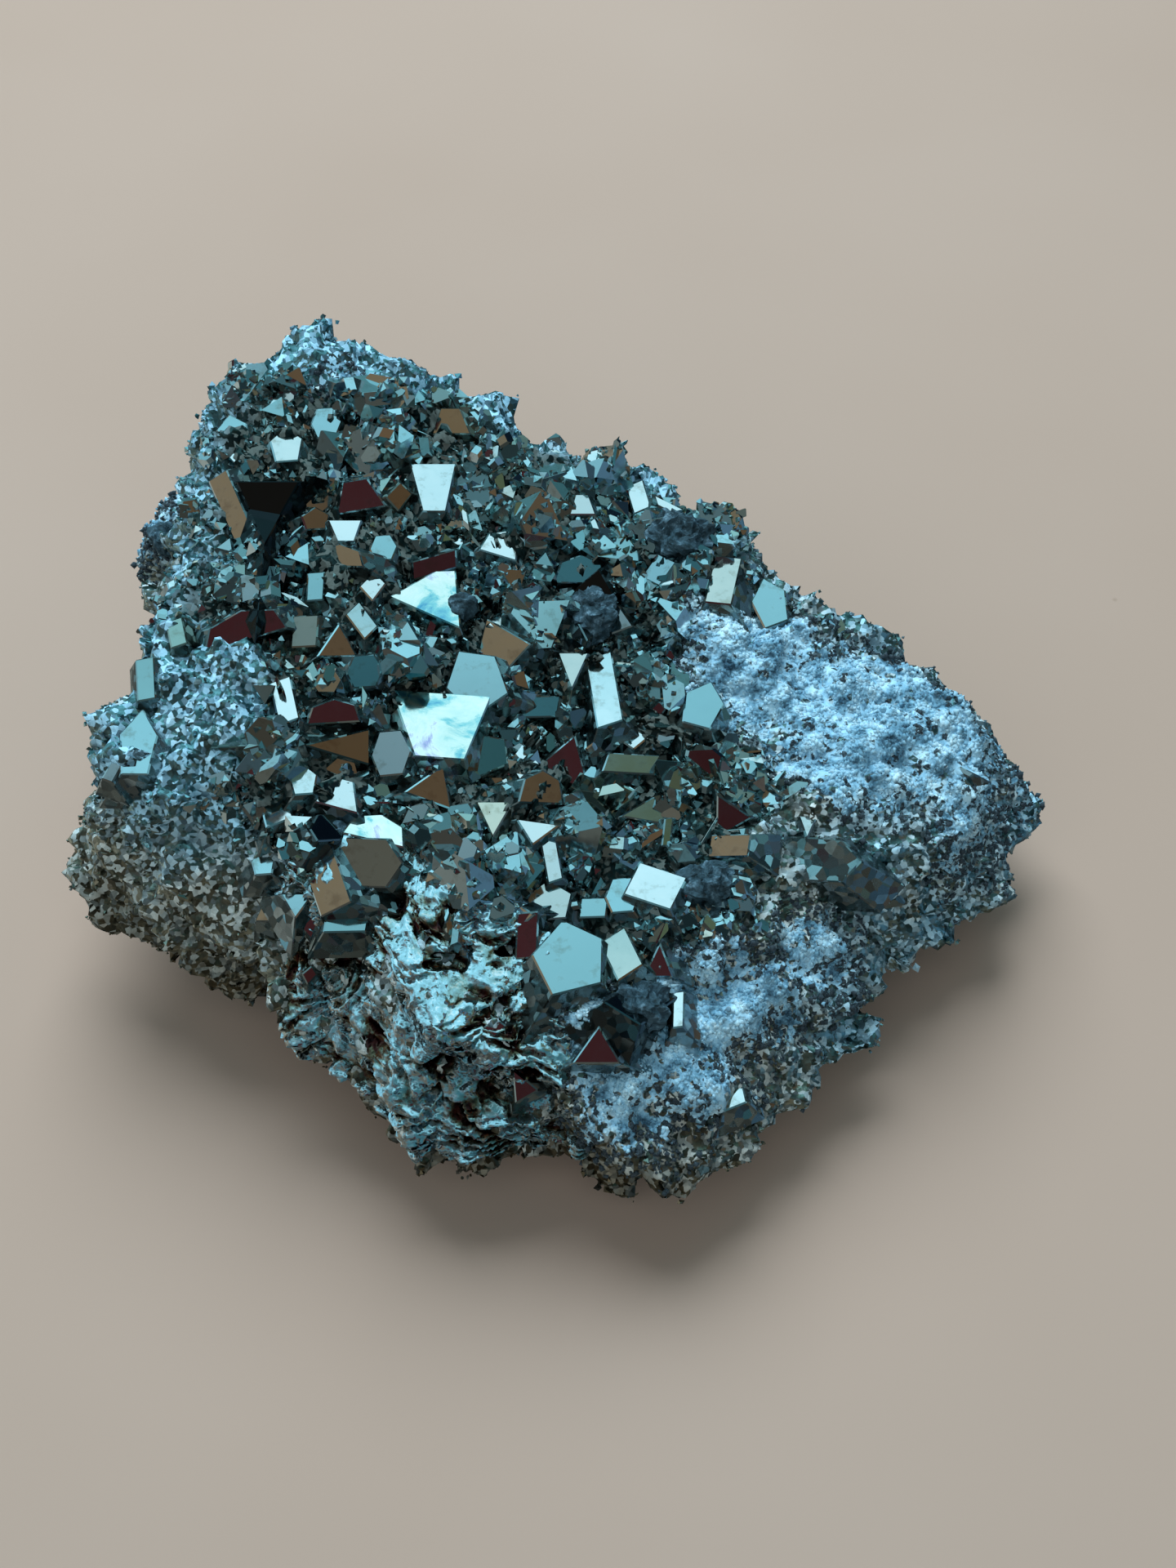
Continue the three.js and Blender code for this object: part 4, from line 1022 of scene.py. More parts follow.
small_habits = sharp_habits(24, stream(23))
grain_shapes = chips(8, stream(31))
skin = (ringed(skin_points), grid_faces(len(SKIN_DOWN), SKIN_COLUMNS))
bed = merged(skin, (big_points, big_faces), (more_points, more_faces), (fill_points, fill_faces))
mid_crystals, mid = strewn("mid_crystals", tree_of(*bed), small_habits, 0.6, count=9000, least=1.8,
                           most=4.2, clear=0.34, spacing=0.25, sink=0.1)
bed_tree = tree_of(*merged(bed, mid))
small_crystals, _ = strewn("small_crystals", bed_tree, small_habits, 0.55, count=14000, least=0.6,
                           most=1.9, clear=0.36, spacing=0.3, sink=0.1)
tiny_crystals, _ = strewn("tiny_crystals", bed_tree, grain_shapes, 0, count=9000, least=0.25, most=0.8,
                          clear=0.35, spacing=0, sink=0.0)

# %% [markdown]
# ## Grains on the skin
# Granular pyrite and sugary quartz end in loose-looking grains that break up the outline. They are seated on
# random quads of the skin, more where the quads are larger and where their zone is stronger.


# %% Seats on the skin
def skin_seats(count, share, chance):
    """Picks quads of the skin with odds of their area times a share, and a random place on each quad."""
    step_down = np.gradient(skin_points, axis=0)
    step_round = (np.roll(skin_points, -1, axis=1) - np.roll(skin_points, 1, axis=1)) / 2
    odds = np.linalg.norm(np.cross(step_down, step_round), axis=-1) * share
    pick = chance.choice(odds.size, count, p=(odds / odds.sum()).ravel())
    a, b = chance.random((2, count, 1)) - 0.5
    flat = [grid.reshape(-1, 3)[pick] for grid in (skin_points, step_down, step_round, skin_out)]
    return flat[0] + a * flat[1] + b * flat[2], flat[3], skin_quartz_with_crease_shade.ravel()[pick]


def grain_cover(name, shapes, share, count, least, most, sink, lit, smooth=False):
    """Grains of a falling power law of widths, seated and sunk by part of their width. They keep off the
    table and off the mirrors, and a share of them is aimed."""
    seats, out, held = skin_seats(count, share, chance)
    widths = least + (most - least) * chance.random(count) ** 2
    centres = seats - sink * widths[:, None] * out
    above = (centres[:, 2] > 0.8 * widths) & (over_mirrors(centres, CLEAN_MIRRORS) > 0.1)
    centres, widths = centres[above], widths[above]
    kinds = chance.integers(0, len(shapes), len(widths))
    points, faces, member = gathered(shapes, kinds, widths, aimed(centres, lit, chance), centres)
    return shown(name, points, faces, smooth=smooth, tone=chance.random(len(widths))[member],
                 quartz=held[above][member])


metal_share = (1 - skin_quartz_with_crease_shade) * (1 - skin_druse) * (1 - skin_torn)
metal_share *= smoothstep(0.2, 1.0, skin_points[..., 2])
pyrite_grains = grain_cover("pyrite_grains", grain_shapes, metal_share, count=21000, least=0.2, most=0.55,
                            sink=0.36, lit=0.45)
sugar_grains = grain_cover("sugar_grains", chips(6, stream(37)), skin_quartz_with_crease_shade**0.7, count=16000, least=0.22,
                           most=0.6, sink=0.15, lit=0, smooth=True)

# %% [markdown]
# ## Dull dark clusters
# A few rounded clusters of a dull blue-grey mineral sit among the mirrors. Each is a ball whose radius is
# changed by noise at two sizes, so it looks like packed little knobs.

# %% The clusters
BALL_ROWS, BALL_COLUMNS = 26, 36
CLUSTER_SEED = 41


def cluster(x, y, z, wide, deep, tall, seed):
    """A ball by latitude and bearing, its radius 1 plus noise at two sizes, stretched and moved."""
    tilt = np.pi * np.linspace(0.03, 0.97, BALL_ROWS)[:, None]
    turn = TAU * np.arange(BALL_COLUMNS)[None, :] / BALL_COLUMNS
    ball = np.stack([np.sin(tilt) * np.cos(turn), np.sin(tilt) * np.sin(turn), np.cos(tilt) + 0 * turn], -1)
    size = np.array([wide, deep, tall])
    bumps = 1 + 0.35 * noise(ball * size, 0.9, seed) + 0.12 * ridges(ball * size, 0.45, seed + 1)
    grid = ball * bumps[..., None] * size + np.array([x, y, z])
    ends = [grid[0].mean(axis=0, keepdims=True), grid[-1].mean(axis=0, keepdims=True)]
    return np.concatenate([grid.reshape(-1, 3), *ends]), grid_faces(BALL_ROWS, BALL_COLUMNS)


balls = [cluster(*row, CLUSTER_SEED + 2 * i) for i, row in enumerate(CLUSTERS)]
dark_clusters = shown("dark_clusters", *merged(*balls))

# %% [markdown]
# ## Finishes
# Each finish starts from the real one: what it is, how its surface was made, and what that does to light.
# Colours are written as sRGB and turned to the linear values that the shader works in. A pattern's scale is
# worked out from the real width of its cells or blobs. One small function adds a node, so that a finish
# reads as a list of what feeds what.


# %% Nodes and colours
BELOW, ABOVE, BLEND = 6, 7, 2  # a Mix node's colours at factor 0 and 1, and its mixed colour


def per(width):
    """A pattern's scale from the width of its cells or blobs in mm: how many fit in a metre."""
    return 1 / (width * MM)


def linear(colour):
    """An sRGB hex colour as linear red, green, blue and alpha 1."""
    parts = [int(colour[i:i + 2], 16) / 255 for i in (1, 3, 5)]
    return (*[c / 12.92 if c <= 0.04045 else ((c + 0.055) / 1.055) ** 2.4 for c in parts], 1.0)


def add(tree, kind, inputs=None, stops=None, **settings):
    """Adds one node: its kind after ShaderNode, its inputs as values, outputs, or nodes whose first output
    feeds them, the stops of a colour ramp, and its settings by name."""
    node = tree.nodes.new("ShaderNode" + kind)
    for name, value in settings.items():
        setattr(node, name, value)
    for key, value in (inputs or {}).items():
        value = value.outputs[0] if isinstance(value, bpy.types.Node) else value
        if isinstance(value, bpy.types.NodeSocket):
            tree.links.new(value, node.inputs[key])
        else:
            node.inputs[key].default_value = value
    for number, (place, colour) in enumerate(stops or []):
        ramp = node.color_ramp.elements
        stop = ramp[number] if number < len(ramp) else ramp.new(place)
        stop.position = place
        stop.color = linear(colour)
    return node


def leaning(tree, normal, lean):
    """A shading normal: the normal plus a lean, at length 1."""
    turned = add(tree, "VectorMath", {0: normal, 1: lean}, operation="ADD")
    return add(tree, "VectorMath", {0: turned}, operation="NORMALIZE")


def finish(name, build, *pieces, slot="pyrite"):
    """A material from a function that builds its shader, given to its pieces."""
    made = bpy.data.materials.new(name)
    made.use_nodes = True
    made.node_tree.nodes.clear()
    add(made.node_tree, "OutputMaterial", {"Surface": build(made.node_tree)})
    for piece in pieces:
        piece.data.materials.append(made)
    print(name, "has", len(made.node_tree.nodes), "nodes")


# %% [markdown]
# ### Crystal-face pyrite
# Iron sulphide with natural growth faces: a metal, pale brass, as smooth as poured glass. So it is fully
# metallic, with a low roughness that changes a little from patch to patch. Each crystal has its own tone,
# because a film of tarnish is thinner on one and thicker on the next. The few film-covered faces show blue,
# violet and white, in clouds about 2 mm wide. A flank broke away from its neighbour, so it is rougher, and
# cells 0.6 mm wide each lean their own way. Flanks are also painted darker, as the shade in the gaps
# between crystals.


# %% Crystal-face pyrite
FLANK_SPREAD = 1.1  # each part of a broken cell's lean lies within half of this on both sides of 0
FLANK_ROUGHNESS = 0.18  # added to the mirror's
FLANK_SHADE = 0.45  # share of painted shade, the dark tone of the gaps between crystals


def crystal_pyrite(tree):
    """Tone to metal, plus a stain in patches, a rainbow film, a dusky coat, and the wear and painted shade of
    the flanks.
    """
    place = add(tree, "TexCoord").outputs["Object"]
    tone = add(tree, "Attribute", attribute_name="tone").outputs["Fac"]
    film = add(tree, "Attribute", attribute_name="film").outputs["Fac"]
    metal = add(tree, "ValToRGB", {"Fac": tone}, stops=[
        (0.0, "#CBDCDE"), (0.35, "#DCEAEC"), (0.6, "#CAD8D8"), (0.8, "#B4C6C8"), (1.0, "#C8CABC")])
    patches = add(tree, "TexNoise", {"Vector": place, "Scale": per(1.111), "Detail": 4.0, "Roughness": 0.6})
    stain = add(tree, "MapRange", {"Value": patches.outputs["Fac"], "From Min": 0.56, "From Max": 0.7,
                                   "To Max": 0.4})
    stained = add(tree, "Mix", {"Factor": stain, BELOW: metal.outputs["Color"], ABOVE: linear("#8E7A5A")},
                  data_type="RGBA")
    clouds = add(tree, "TexNoise", {"Vector": place, "Scale": per(2.381), "Detail": 5.0, "Roughness": 0.6,
                                    "Distortion": 0.5})
    rainbow = add(tree, "ValToRGB", {"Fac": clouds.outputs["Fac"]}, stops=[
        (0.3, "#4F9CC4"), (0.4, "#92D6DC"), (0.47, "#DDF6EE"), (0.6, "#F4FFFA"), (0.68, "#B6B4E4"),
        (0.74, "#7FC8C0")])
    filmed = add(tree, "Mix", {"Factor": film, BELOW: stained.outputs[BLEND],
                               ABOVE: rainbow.outputs["Color"]}, data_type="RGBA")
    dusky = add(tree, "MapRange", {"Value": film, "From Min": -0.2, "From Max": -0.9})
    coated = add(tree, "Mix", {"Factor": dusky, BELOW: filmed.outputs[BLEND], ABOVE: linear("#3A3E42")},
                 data_type="RGBA")
    rough = add(tree, "MapRange", {"Value": patches.outputs["Fac"], "From Min": 0.35, "From Max": 0.7,
                                   "To Min": 0.05, "To Max": 0.16})
    bump = add(tree, "Bump", {"Height": patches.outputs["Fac"], "Strength": 0.04, "Distance": 0.02 * MM})
    flank = add(tree, "Attribute", attribute_name="flank").outputs["Fac"]
    cells = add(tree, "TexVoronoi", {"Vector": place, "Scale": per(0.5882)})
    tilt = add(tree, "VectorMath", {0: cells.outputs["Color"], 1: 3 * (FLANK_SPREAD,),
                                    2: 3 * (-FLANK_SPREAD / 2,)}, operation="MULTIPLY_ADD")
    broken = add(tree, "VectorMath", {0: tilt, "Scale": flank}, operation="SCALE")
    rougher = add(tree, "Math", {0: flank, 1: FLANK_ROUGHNESS, 2: rough}, operation="MULTIPLY_ADD")
    # painted shade: flanks are mixed towards a dark tone, as the shade in the gaps between crystals
    shade = add(tree, "Math", {0: flank, 1: FLANK_SHADE}, operation="MULTIPLY")
    flank_wear_and_shade = add(tree, "Mix", {"Factor": shade, BELOW: coated.outputs[BLEND], ABOVE: linear("#2A3231")},
               data_type="RGBA")
    return add(tree, "BsdfPrincipled", {"Base Color": flank_wear_and_shade.outputs[BLEND], "Metallic": 1.0,
                                        "Roughness": rougher, "Normal": leaning(tree, bump, broken)})


finish("crystal_face_pyrite", crystal_pyrite, principal_crystals, accent_crystals, fill_crystals,
       mid_crystals, small_crystals, tiny_crystals)
EDGE_WIDTH = 0.07 * MM
EDGE_ANGLE = math.radians(20)  # only edges sharper than this are worn
for piece in (principal_crystals, accent_crystals, fill_crystals, mid_crystals):
    bevel = piece.modifiers.new("worn_edges", "BEVEL")
    bevel.width = EDGE_WIDTH
    bevel.segments = 1
    bevel.limit_method = "ANGLE"
    bevel.angle_limit = EDGE_ANGLE

# %% [markdown]
# ### Granular pyrite and quartz bed
# Fine intergrown pyrite: thousands of facets 0.3 to 0.8 mm wide, each a small mirror that looks another way.
# Modelling them all would take millions of faces, so each cell of a Voronoi pattern turns the shading normal
# its own way instead. Some cells are dull rock or quartz. Where the quartz share is high the cells turn
# white and matt.


# %% Granular pyrite and quartz bed
def painted_room_light(tree, place, colour):
    """Painted light: cool window light on what lies high or to the right, and warm table bounce with darker
    shade low on the walls to the left.
    """
    at = add(tree, "SeparateXYZ", {0: place})
    cool = add(tree, "MapRange", {"Value": at.outputs["X"], "From Min": 4 * MM, "From Max": 18 * MM,
                                  "To Max": 0.7})
    height = add(tree, "MapRange", {"Value": at.outputs["Z"], "From Min": 5 * MM, "From Max": 21 * MM})
    cooler = add(tree, "Math", {0: height, 1: cool}, operation="MAXIMUM")
    ragged = add(tree, "TexNoise", {"Vector": place, "Scale": per(3.846), "Detail": 4.0, "Roughness": 0.7})
    spread = add(tree, "Math", {0: ragged.outputs["Fac"], 1: 1.2, 2: -0.6}, operation="MULTIPLY_ADD")
    mixed = add(tree, "Math", {0: cooler, 1: spread}, operation="ADD")
    tint = add(tree, "ValToRGB", {"Fac": mixed}, stops=[
        (0.0, "#8A7D6A"), (0.45, "#DCDCD2"), (0.9, "#B8E4F4")])
    return add(tree, "Mix", {"Factor": 1.0, BELOW: colour, ABOVE: tint.outputs["Color"]}, data_type="RGBA",
               blend_type="MULTIPLY").outputs[BLEND]


def sugar_colour(tree, place, quartz):
    """Cloudy pale blue, and where it shows: in cells that grow rarer as the share of quartz falls. Returns
    the clouds, the colour and the share of white."""
    cloud = add(tree, "TexNoise", {"Vector": place, "Scale": per(1.538), "Detail": 5.0, "Roughness": 0.65})
    sugar = add(tree, "ValToRGB", {"Fac": cloud.outputs["Fac"]}, stops=[
        (0.33, "#26465A"), (0.43, "#5E92AC"), (0.52, "#86BCD6"), (0.7, "#B6E4F2")])
    grain = add(tree, "TexVoronoi", {"Vector": place, "Scale": per(0.3846)})
    lot = add(tree, "SeparateColor", {"Color": grain.outputs["Color"]})
    edge = add(tree, "Math", {0: lot.outputs["Red"], 1: 0.8, 2: quartz}, operation="MULTIPLY_ADD")
    white = add(tree, "MapRange", {"Value": edge, "From Min": 1.02, "From Max": 1.08})
    return cloud, sugar, white


def granular(tree):
    """Cells of two sizes lean the normal and pick metal or dull rock, under painted room light. The druse's
    bed is painted darker, as the shade between its crystals, and the quartz lies over all, with a bump from
    its clouds."""
    place = add(tree, "TexCoord").outputs["Object"]
    normal = add(tree, "NewGeometry").outputs["Normal"]
    quartz = add(tree, "Attribute", attribute_name="quartz").outputs["Fac"]
    druse = add(tree, "Attribute", attribute_name="druse").outputs["Fac"]
    coarse = add(tree, "TexVoronoi", {"Vector": place, "Scale": per(0.8)})
    fine = add(tree, "TexVoronoi", {"Vector": place, "Scale": per(0.3333)})
    tilt = add(tree, "VectorMath", {0: coarse.outputs["Color"], 1: fine.outputs["Color"]}, operation="ADD")
    centred = add(tree, "VectorMath", {0: tilt, 1: (-1.0, -1.0, -1.0)}, operation="ADD")
    amount = add(tree, "MapRange", {"Value": quartz, "To Min": 0.45, "To Max": 0.2})
    lean = add(tree, "VectorMath", {0: centred, "Scale": amount}, operation="SCALE")
    cell = add(tree, "SeparateColor", {"Color": fine.outputs["Color"]})
    metal = add(tree, "ValToRGB", {"Fac": cell.outputs["Red"]}, stops=[
        (0.0, "#8E9088"), (0.3, "#C6C8BE"), (0.7, "#E2E2D6"), (1.0, "#F4F4EC")])
    bits = add(tree, "MapRange", {"Value": cell.outputs["Green"], "From Min": 0.5, "From Max": 0.52})
    dull = add(tree, "ValToRGB", {"Fac": cell.outputs["Blue"]}, stops=[
        (0.0, "#4B5A60"), (0.4, "#98AEB8"), (1.0, "#D4EAF4")])
    rock = add(tree, "Mix", {"Factor": bits, BELOW: metal.outputs["Color"], ABOVE: dull.outputs["Color"]},
               data_type="RGBA")
    # painted light: warm bounce and darker shade low on the left, cool window light high and to the right
    rock = painted_room_light(tree, place, rock.outputs[BLEND])
    # painted shade: the druse's bed shows only in the gaps between crystals, so it is mixed to a dark tone
    bed = add(tree, "Mix", {"Factor": druse, BELOW: rock, ABOVE: linear("#465452")}, data_type="RGBA")
    cloud, sugar, white = sugar_colour(tree, place, quartz)
    colour = add(tree, "Mix", {"Factor": white, BELOW: bed.outputs[BLEND], ABOVE: sugar.outputs["Color"]},
                 data_type="RGBA")
    dullness = add(tree, "Math", {0: white, 1: bits}, operation="MAXIMUM")
    metallic = add(tree, "Math", {0: 1.0, 1: dullness}, operation="SUBTRACT", use_clamp=True)
    rough = add(tree, "MapRange", {"Value": dullness, "To Min": 0.32, "To Max": 0.62})
    bump = add(tree, "Bump", {"Height": cloud.outputs["Fac"], "Normal": leaning(tree, normal, lean),
                              "Strength": 0.5, "Distance": 0.2 * MM})
    return add(tree, "BsdfPrincipled", {"Base Color": colour.outputs[BLEND], "Metallic": metallic,
                                        "Roughness": rough, "Normal": bump})


finish("granular_pyrite_and_quartz_bed", granular, stone_skin)


# %% [markdown]
# ### Loose-looking grains, torn metal, sugar quartz and the dull clusters
# Pyrite grains are small mirrors with a little rock dust between them, under the same painted room light
# as the granular pyrite. The torn metal is the same pyrite without growth faces, so it is smooth but bent,
# with red-brown tarnish in its hollows and painted shade that darkens the deepest of them to near black.
# Sugar quartz is clear grains that scatter light at every edge, so it looks white and matt, faintly blue.
# The clusters have an earthy blue-grey coat with hardly any gloss.


# %% Four more finishes
def grain_pyrite(tree):
    """Three grains in four are metal, by their tone, and the rest are dull rock."""
    place = add(tree, "TexCoord").outputs["Object"]
    tone = add(tree, "Attribute", attribute_name="tone").outputs["Fac"]
    colour = add(tree, "ValToRGB", {"Fac": tone}, stops=[
        (0.0, "#2B3336"), (0.08, "#76888F"), (0.23, "#B4C8D2"), (0.26, "#D2D4CC"), (1.0, "#F0F0E6")])
    metallic = add(tree, "MapRange", {"Value": tone, "From Min": 0.23, "From Max": 0.25})
    rough = add(tree, "MapRange", {"Value": tone, "From Min": 0.2, "From Max": 0.26, "To Min": 0.6,
                                   "To Max": 0.2})
    # the grains get the same painted room light as the granular pyrite
    return add(tree, "BsdfPrincipled", {"Base Color": painted_room_light(tree, place, colour.outputs["Color"]),
                                        "Metallic": metallic, "Roughness": rough})


def torn_pyrite(tree):
    """Red-brown tarnish by height, in the hollows, going down to near black in the deepest as painted shade.
    Slivers in a stretched noise look up, like the lips of foils, and a finer noise bends all of it."""
    place = add(tree, "TexCoord").outputs["Object"]
    normal = add(tree, "NewGeometry").outputs["Normal"]
    height = add(tree, "Attribute", attribute_name="height").outputs["Fac"]
    patches = add(tree, "TexNoise", {"Vector": place, "Scale": per(2.857), "Detail": 5.0, "Roughness": 0.65})
    # painted shade with tarnish: the lower the relief, the darker and redder, near black in the deepest
    # hollows
    low = add(tree, "Math", {0: height, 1: -0.5, 2: patches.outputs["Fac"]}, operation="MULTIPLY_ADD")
    colour = add(tree, "ValToRGB", {"Fac": low}, stops=[
        (0.5, "#E0F0F6"), (0.6, "#C6CCC4"), (0.68, "#7C6A52"), (0.76, "#5A2E2A"), (0.86, "#1E1C20")])
    flat = add(tree, "VectorMath", {0: place, 1: (0.75, 1.0, 1.2)}, operation="MULTIPLY")
    streaks = add(tree, "TexNoise", {"Vector": flat, "Scale": per(0.5882), "Detail": 4.0,
                                     "Roughness": 0.6, "Distortion": 0.5})
    tread = add(tree, "MapRange", {"Value": streaks.outputs["Fac"], "From Min": 0.43, "From Max": 0.47})
    up = add(tree, "VectorMath", {0: (0.0, 0.0, 2.0), "Scale": tread}, operation="SCALE")
    bent = add(tree, "TexNoise", {"Vector": flat, "Scale": per(0.3125), "Detail": 2.0})
    tilt = add(tree, "VectorMath", {0: bent.outputs["Color"], 1: (1.6, 1.6, 1.6), 2: (-0.8, -0.8, -0.8)},
               operation="MULTIPLY_ADD")
    lean = add(tree, "VectorMath", {0: up, 1: tilt}, operation="ADD")
    return add(tree, "BsdfPrincipled", {"Base Color": colour.outputs["Color"], "Metallic": 1.0,
                                        "Roughness": 0.15, "Normal": leaning(tree, normal, lean)})


def sugar_quartz(tree):
    """The bed's sugar, on dark grains where it thins out, with light let in under the surface."""
    place = add(tree, "TexCoord").outputs["Object"]
    quartz = add(tree, "Attribute", attribute_name="quartz").outputs["Fac"]
    _, sugar, white = sugar_colour(tree, place, quartz)
    colour = add(tree, "Mix", {"Factor": white, BELOW: linear("#2C3A42"), ABOVE: sugar.outputs["Color"]},
                 data_type="RGBA")
    return add(tree, "BsdfPrincipled", {"Base Color": colour.outputs[BLEND], "Roughness": 0.5, "IOR": 1.54,
                                        "Subsurface Weight": 0.35, "Subsurface Scale": 0.6 * MM,
                                        "Subsurface Radius": (1.0, 1.0, 1.0)})


def dull_coat(tree):
    """One dusty noise for both colour and bump."""
    place = add(tree, "TexCoord").outputs["Object"]
    dust = add(tree, "TexNoise", {"Vector": place, "Scale": per(0.625), "Detail": 4.0, "Roughness": 0.7})
    colour = add(tree, "ValToRGB", {"Fac": dust.outputs["Fac"]}, stops=[
        (0.35, "#1A2A30"), (0.55, "#36525F"), (0.72, "#6E95A8")])
    bump = add(tree, "Bump", {"Height": dust.outputs["Fac"], "Strength": 0.6, "Distance": 0.2 * MM})
    return add(tree, "BsdfPrincipled", {"Base Color": colour.outputs["Color"], "Roughness": 0.6,
                                        "Metallic": 0.2, "Normal": bump})


finish("pyrite_grain", grain_pyrite, pyrite_grains)
finish("torn_pyrite", torn_pyrite, torn_front)
finish("sugar_quartz", sugar_quartz, sugar_grains, slot=None)
finish("dull_blue_coat", dull_coat, dark_clusters, slot=None)

# %% [markdown]
# ## The room
# Mirrors show the room, so the room is part of the look. It is drawn as soft round patches of light on a
# dark sky: one cool window high behind the stone, paler and greyer sky beside it, and dim warm walls. The
# crystals were turned towards these same places. A pale table lies under the stone. One large soft lamp
# behind it gives the table its brightness and the stone its soft shadow towards the viewer, and a weaker
# and wider one in front opens up the near walls. No mirror shows the lamps, the table or the backdrop,
# because the patches stand for all of them.

# %% The sky in patches
PATCHES = [  # bearing, height, half width and softness in degrees, colour, strength
    [0, -90, 60, 25, "#2A3333", 1.0],
    [180, -45, 38, 20, "#686860", 1.0],
    [200, 35, 30, 18, "#504C46", 1.0],
    [-78, -12, 34, 18, "#B6BAB4", 1.0],
    [85, -8, 34, 18, "#5E829C", 1.0],
    [0, 90, 44, 20, "#557F89", 0.9],
    [3, 52, 38, 10, "#5A929A", 1.0],
    [-52, 34, 28, 12, "#8AC2D4", 1.2],
    [110, 72, 14, 8, "#3C6A75", 1.0],
    [-50, 72, 12, 8, "#58757E", 1.0],
    [-28, 66, 10, 7, "#88A4AE", 0.95],
    [-80, 45, 11, 5, "#8A7760", 1.0],
    [84, 42, 16, 7, "#6A543F", 1.0],
    [-105, 62, 12, 6, "#6B655A", 1.0],
    [188, 62, 12, 5, "#4A2629", 1.0],
    [60, 62, 9, 6, "#566043", 1.0],
    [-12, 8, 30, 14, "#5F96A0", 0.85],
    [34, 18, 15, 8, "#12202E", 1.0],
    [20, 60, 14, 7, "#8AB6BE", 0.95],
    [3, 50, 25, 6, "#9CE0F2", 1.12],
    [2, 53, 5, 3, "#CFF4FF", 1.35],
]
DARK_SKY = "#223236"


def sky(tree):
    """Patches over one another in this order: each takes over where the angle to its middle is small,
    measured by the cosine, the dot product of the view of the sky with the patch's direction."""
    view = add(tree, "TexCoord").outputs["Generated"]
    light = None
    for bearing, height, wide, soft, colour, strength in PATCHES:
        middle = direction(bearing, height)
        nearness = add(tree, "VectorMath", {0: view, 1: tuple(middle)}, operation="DOT_PRODUCT")
        share = add(tree, "MapRange", {
            "Value": nearness.outputs["Value"], "From Min": math.cos(math.radians(wide + soft)),
            "From Max": math.cos(math.radians(max(wide - soft, 1)))}, interpolation_type="SMOOTHSTEP")
        shade = tuple(strength * c for c in linear(colour)[:3]) + (1.0,)
        below = light if light else linear(DARK_SKY)
        light = add(tree, "Mix", {"Factor": share, BELOW: below, ABOVE: shade},
                    data_type="RGBA").outputs[BLEND]
    panes = add(tree, "TexNoise", {"Vector": view, "Scale": 6.0, "Detail": 2.0})
    uneven = add(tree, "MapRange", {"Value": panes.outputs["Fac"], "From Min": 0.3, "From Max": 0.7,
                                    "To Min": 0.7, "To Max": 1.15})
    varied = add(tree, "VectorMath", {0: light, "Scale": uneven}, operation="SCALE")
    return add(tree, "Background", {"Color": varied, "Strength": 1.0})


room = bpy.data.worlds.new("room")
room.use_nodes = True
room.node_tree.nodes.clear()
add(room.node_tree, "OutputWorld", {"Surface": sky(room.node_tree)})
bpy.context.scene.world = room
bpy.context.scene.view_settings.view_transform = "Standard"
print("patches of light:", len(PATCHES))


# %% The table and the backdrop
def table_top(tree):
    """Nearly one tone, with wide soft clouds and a dark speck of dust here and there."""
    place = add(tree, "TexCoord").outputs["Object"]
    cloud = add(tree, "TexNoise", {"Vector": place, "Scale": per(71.43), "Detail": 3.0})
    colour = add(tree, "ValToRGB", {"Fac": cloud.outputs["Fac"]}, stops=[
        (0.3, "#97897C"), (0.7, "#9C8F83")])
    specks = add(tree, "TexVoronoi", {"Vector": place, "Scale": per(22.22)})
    dust = add(tree, "MapRange", {"Value": specks.outputs["Distance"], "From Min": 0.012, "From Max": 0.02})
    dusty = add(tree, "Mix", {"Factor": dust, BELOW: linear("#6F6255"), ABOVE: colour.outputs["Color"]},
                data_type="RGBA")
    return add(tree, "BsdfPrincipled", {"Base Color": dusty.outputs[BLEND], "Roughness": 0.7})


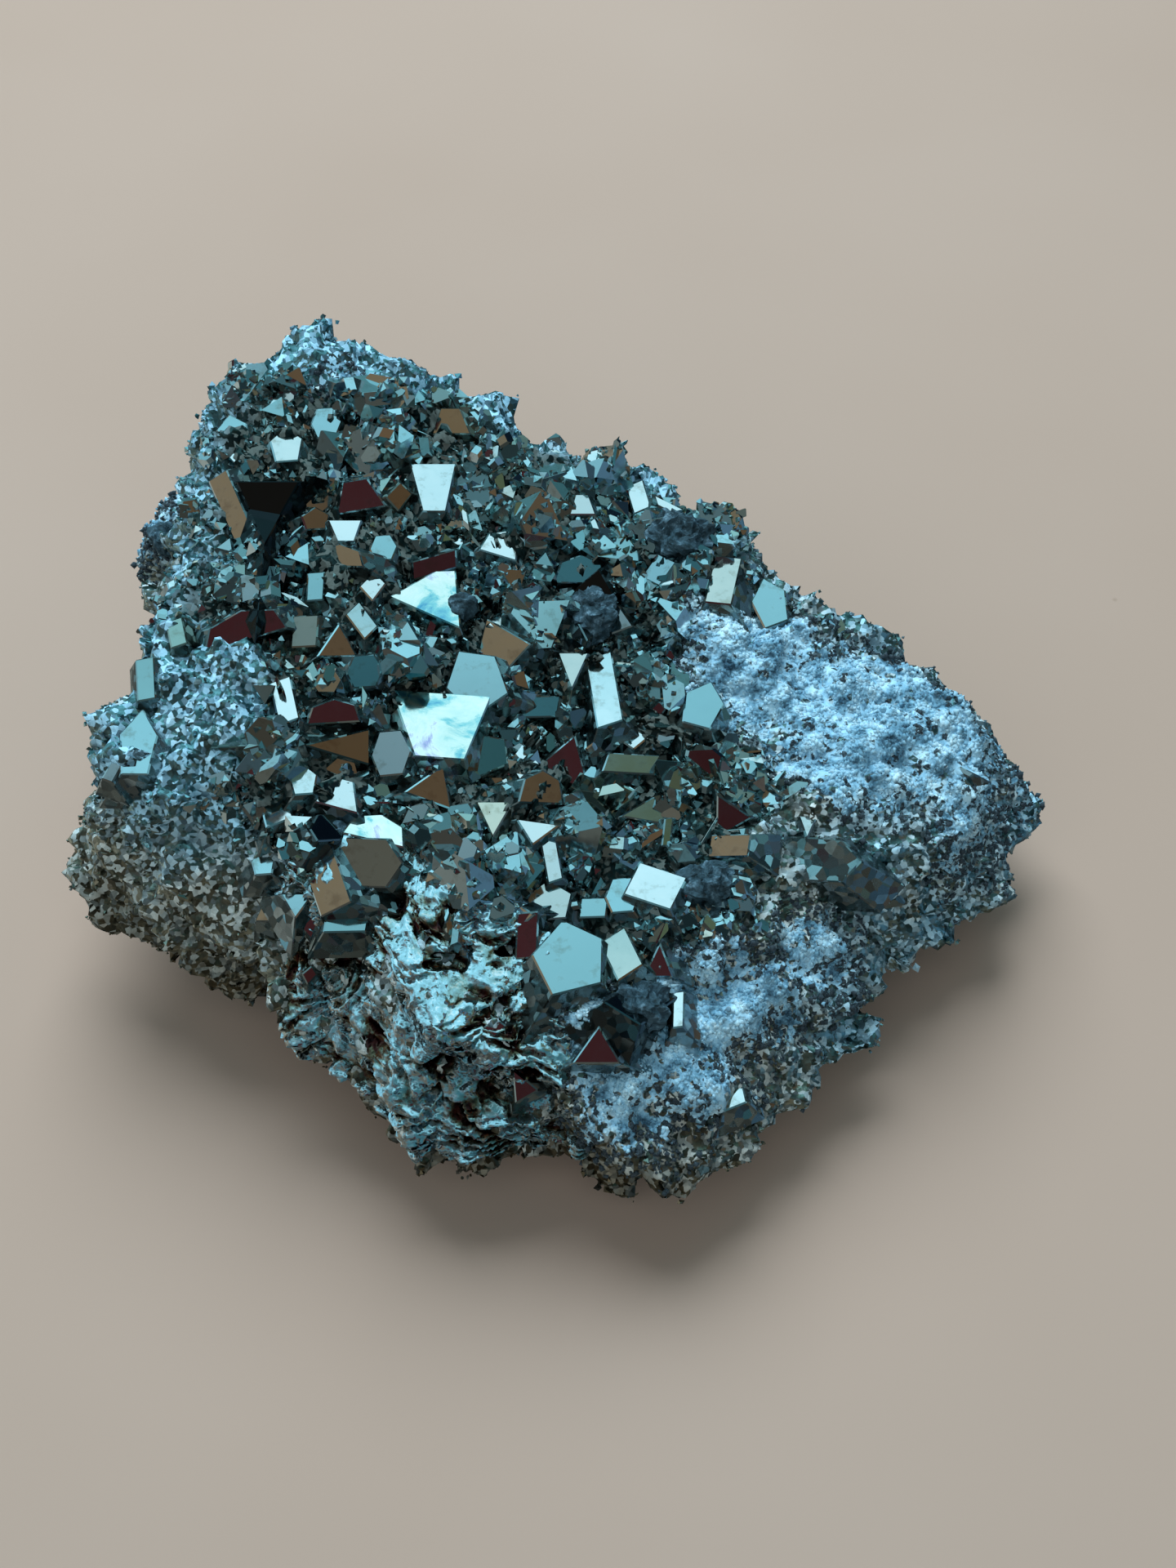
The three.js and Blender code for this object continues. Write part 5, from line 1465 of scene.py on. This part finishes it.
def ring_sheet(name, profile, closed, columns=96):
    """A round sheet: a profile of radius and height in metres, carried round the Z axis. If closed, one
    face fills its middle."""
    turn = TAU * np.arange(columns)[None, :] / columns
    radius, height = np.array(profile).T[:, :, None]
    grid = np.stack([radius * np.cos(turn), radius * np.sin(turn), height + 0 * turn], -1)
    middle = [list(range(columns))] if closed else []
    sheet = shown(name, grid.reshape(-1, 3) / MM, quads(len(profile), columns) + middle)
    return sheet


table = ring_sheet("table", [[0.05, 0], [0.3, 0], [1.2, 0], [1.5, 0]], True)
backdrop = ring_sheet("backdrop", [[1.5, 0], [1.7, 0.03], [1.85, 0.15], [1.95, 0.4], [2.0, 2.2]], False)
table.visible_glossy = False
backdrop.visible_glossy = False
backdrop.visible_diffuse = False
backdrop.visible_shadow = False
finish("pale_table_laminate", table_top, table, slot=None)
backdrop.data.materials.append(table.data.materials[0])


# %% The lamps
def stand(name, data, place, aim):
    """An object at a place, in metres. Its -Z axis, along which lamps shine and cameras look, points at the
    aim."""
    made = bpy.data.objects.new(name, data)
    made.location = place
    made.rotation_euler = Vector(np.subtract(aim, place)).to_track_quat("-Z", "Y").to_euler()
    bpy.context.scene.collection.objects.link(made)
    return made


def disc_lamp(name, width, watts, colour, place, aim):
    """A round area lamp, which lights the stone but shows in no mirror."""
    data = bpy.data.lights.new(name, "AREA")
    data.shape = "DISK"
    data.size = width
    data.energy = watts
    data.color = linear(colour)[:3]
    stand(name, data, place, aim).visible_glossy = False
    print(name, "of", watts, "W")


disc_lamp("soft_lamp", 0.42, 4.4, "#F4F8FF", place=(-0.07, 0.29, 0.43), aim=(0, 0, 0))
disc_lamp("fill_lamp", 0.8, 2.05, "#F4F1F0", place=(-0.05, -0.42, 0.32), aim=(0, -0.06, 0))

# %% The camera, at the sight point
EYE = np.array([2.644, -92.051, 117.823]) * MM
AIM = np.array([2.644, -1.418, 9.810]) * MM
camera_data = bpy.data.cameras.new("camera")
camera_data.lens = 50
camera_data.sensor_width = 36
camera_data.clip_start = 0.01
bpy.context.scene.camera = stand("camera", camera_data, EYE, AIM)
print("camera to aim, m:", round(float(np.linalg.norm(AIM - EYE)), 4))

# %% Everything rides on the one body
stone = [stone_skin, torn_front, principal_crystals, accent_crystals, fill_crystals, mid_crystals,
         small_crystals, tiny_crystals, pyrite_grains, sugar_grains, dark_clusters]
for piece in stone:
    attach(piece, "root")
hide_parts("pyrite_specimen")
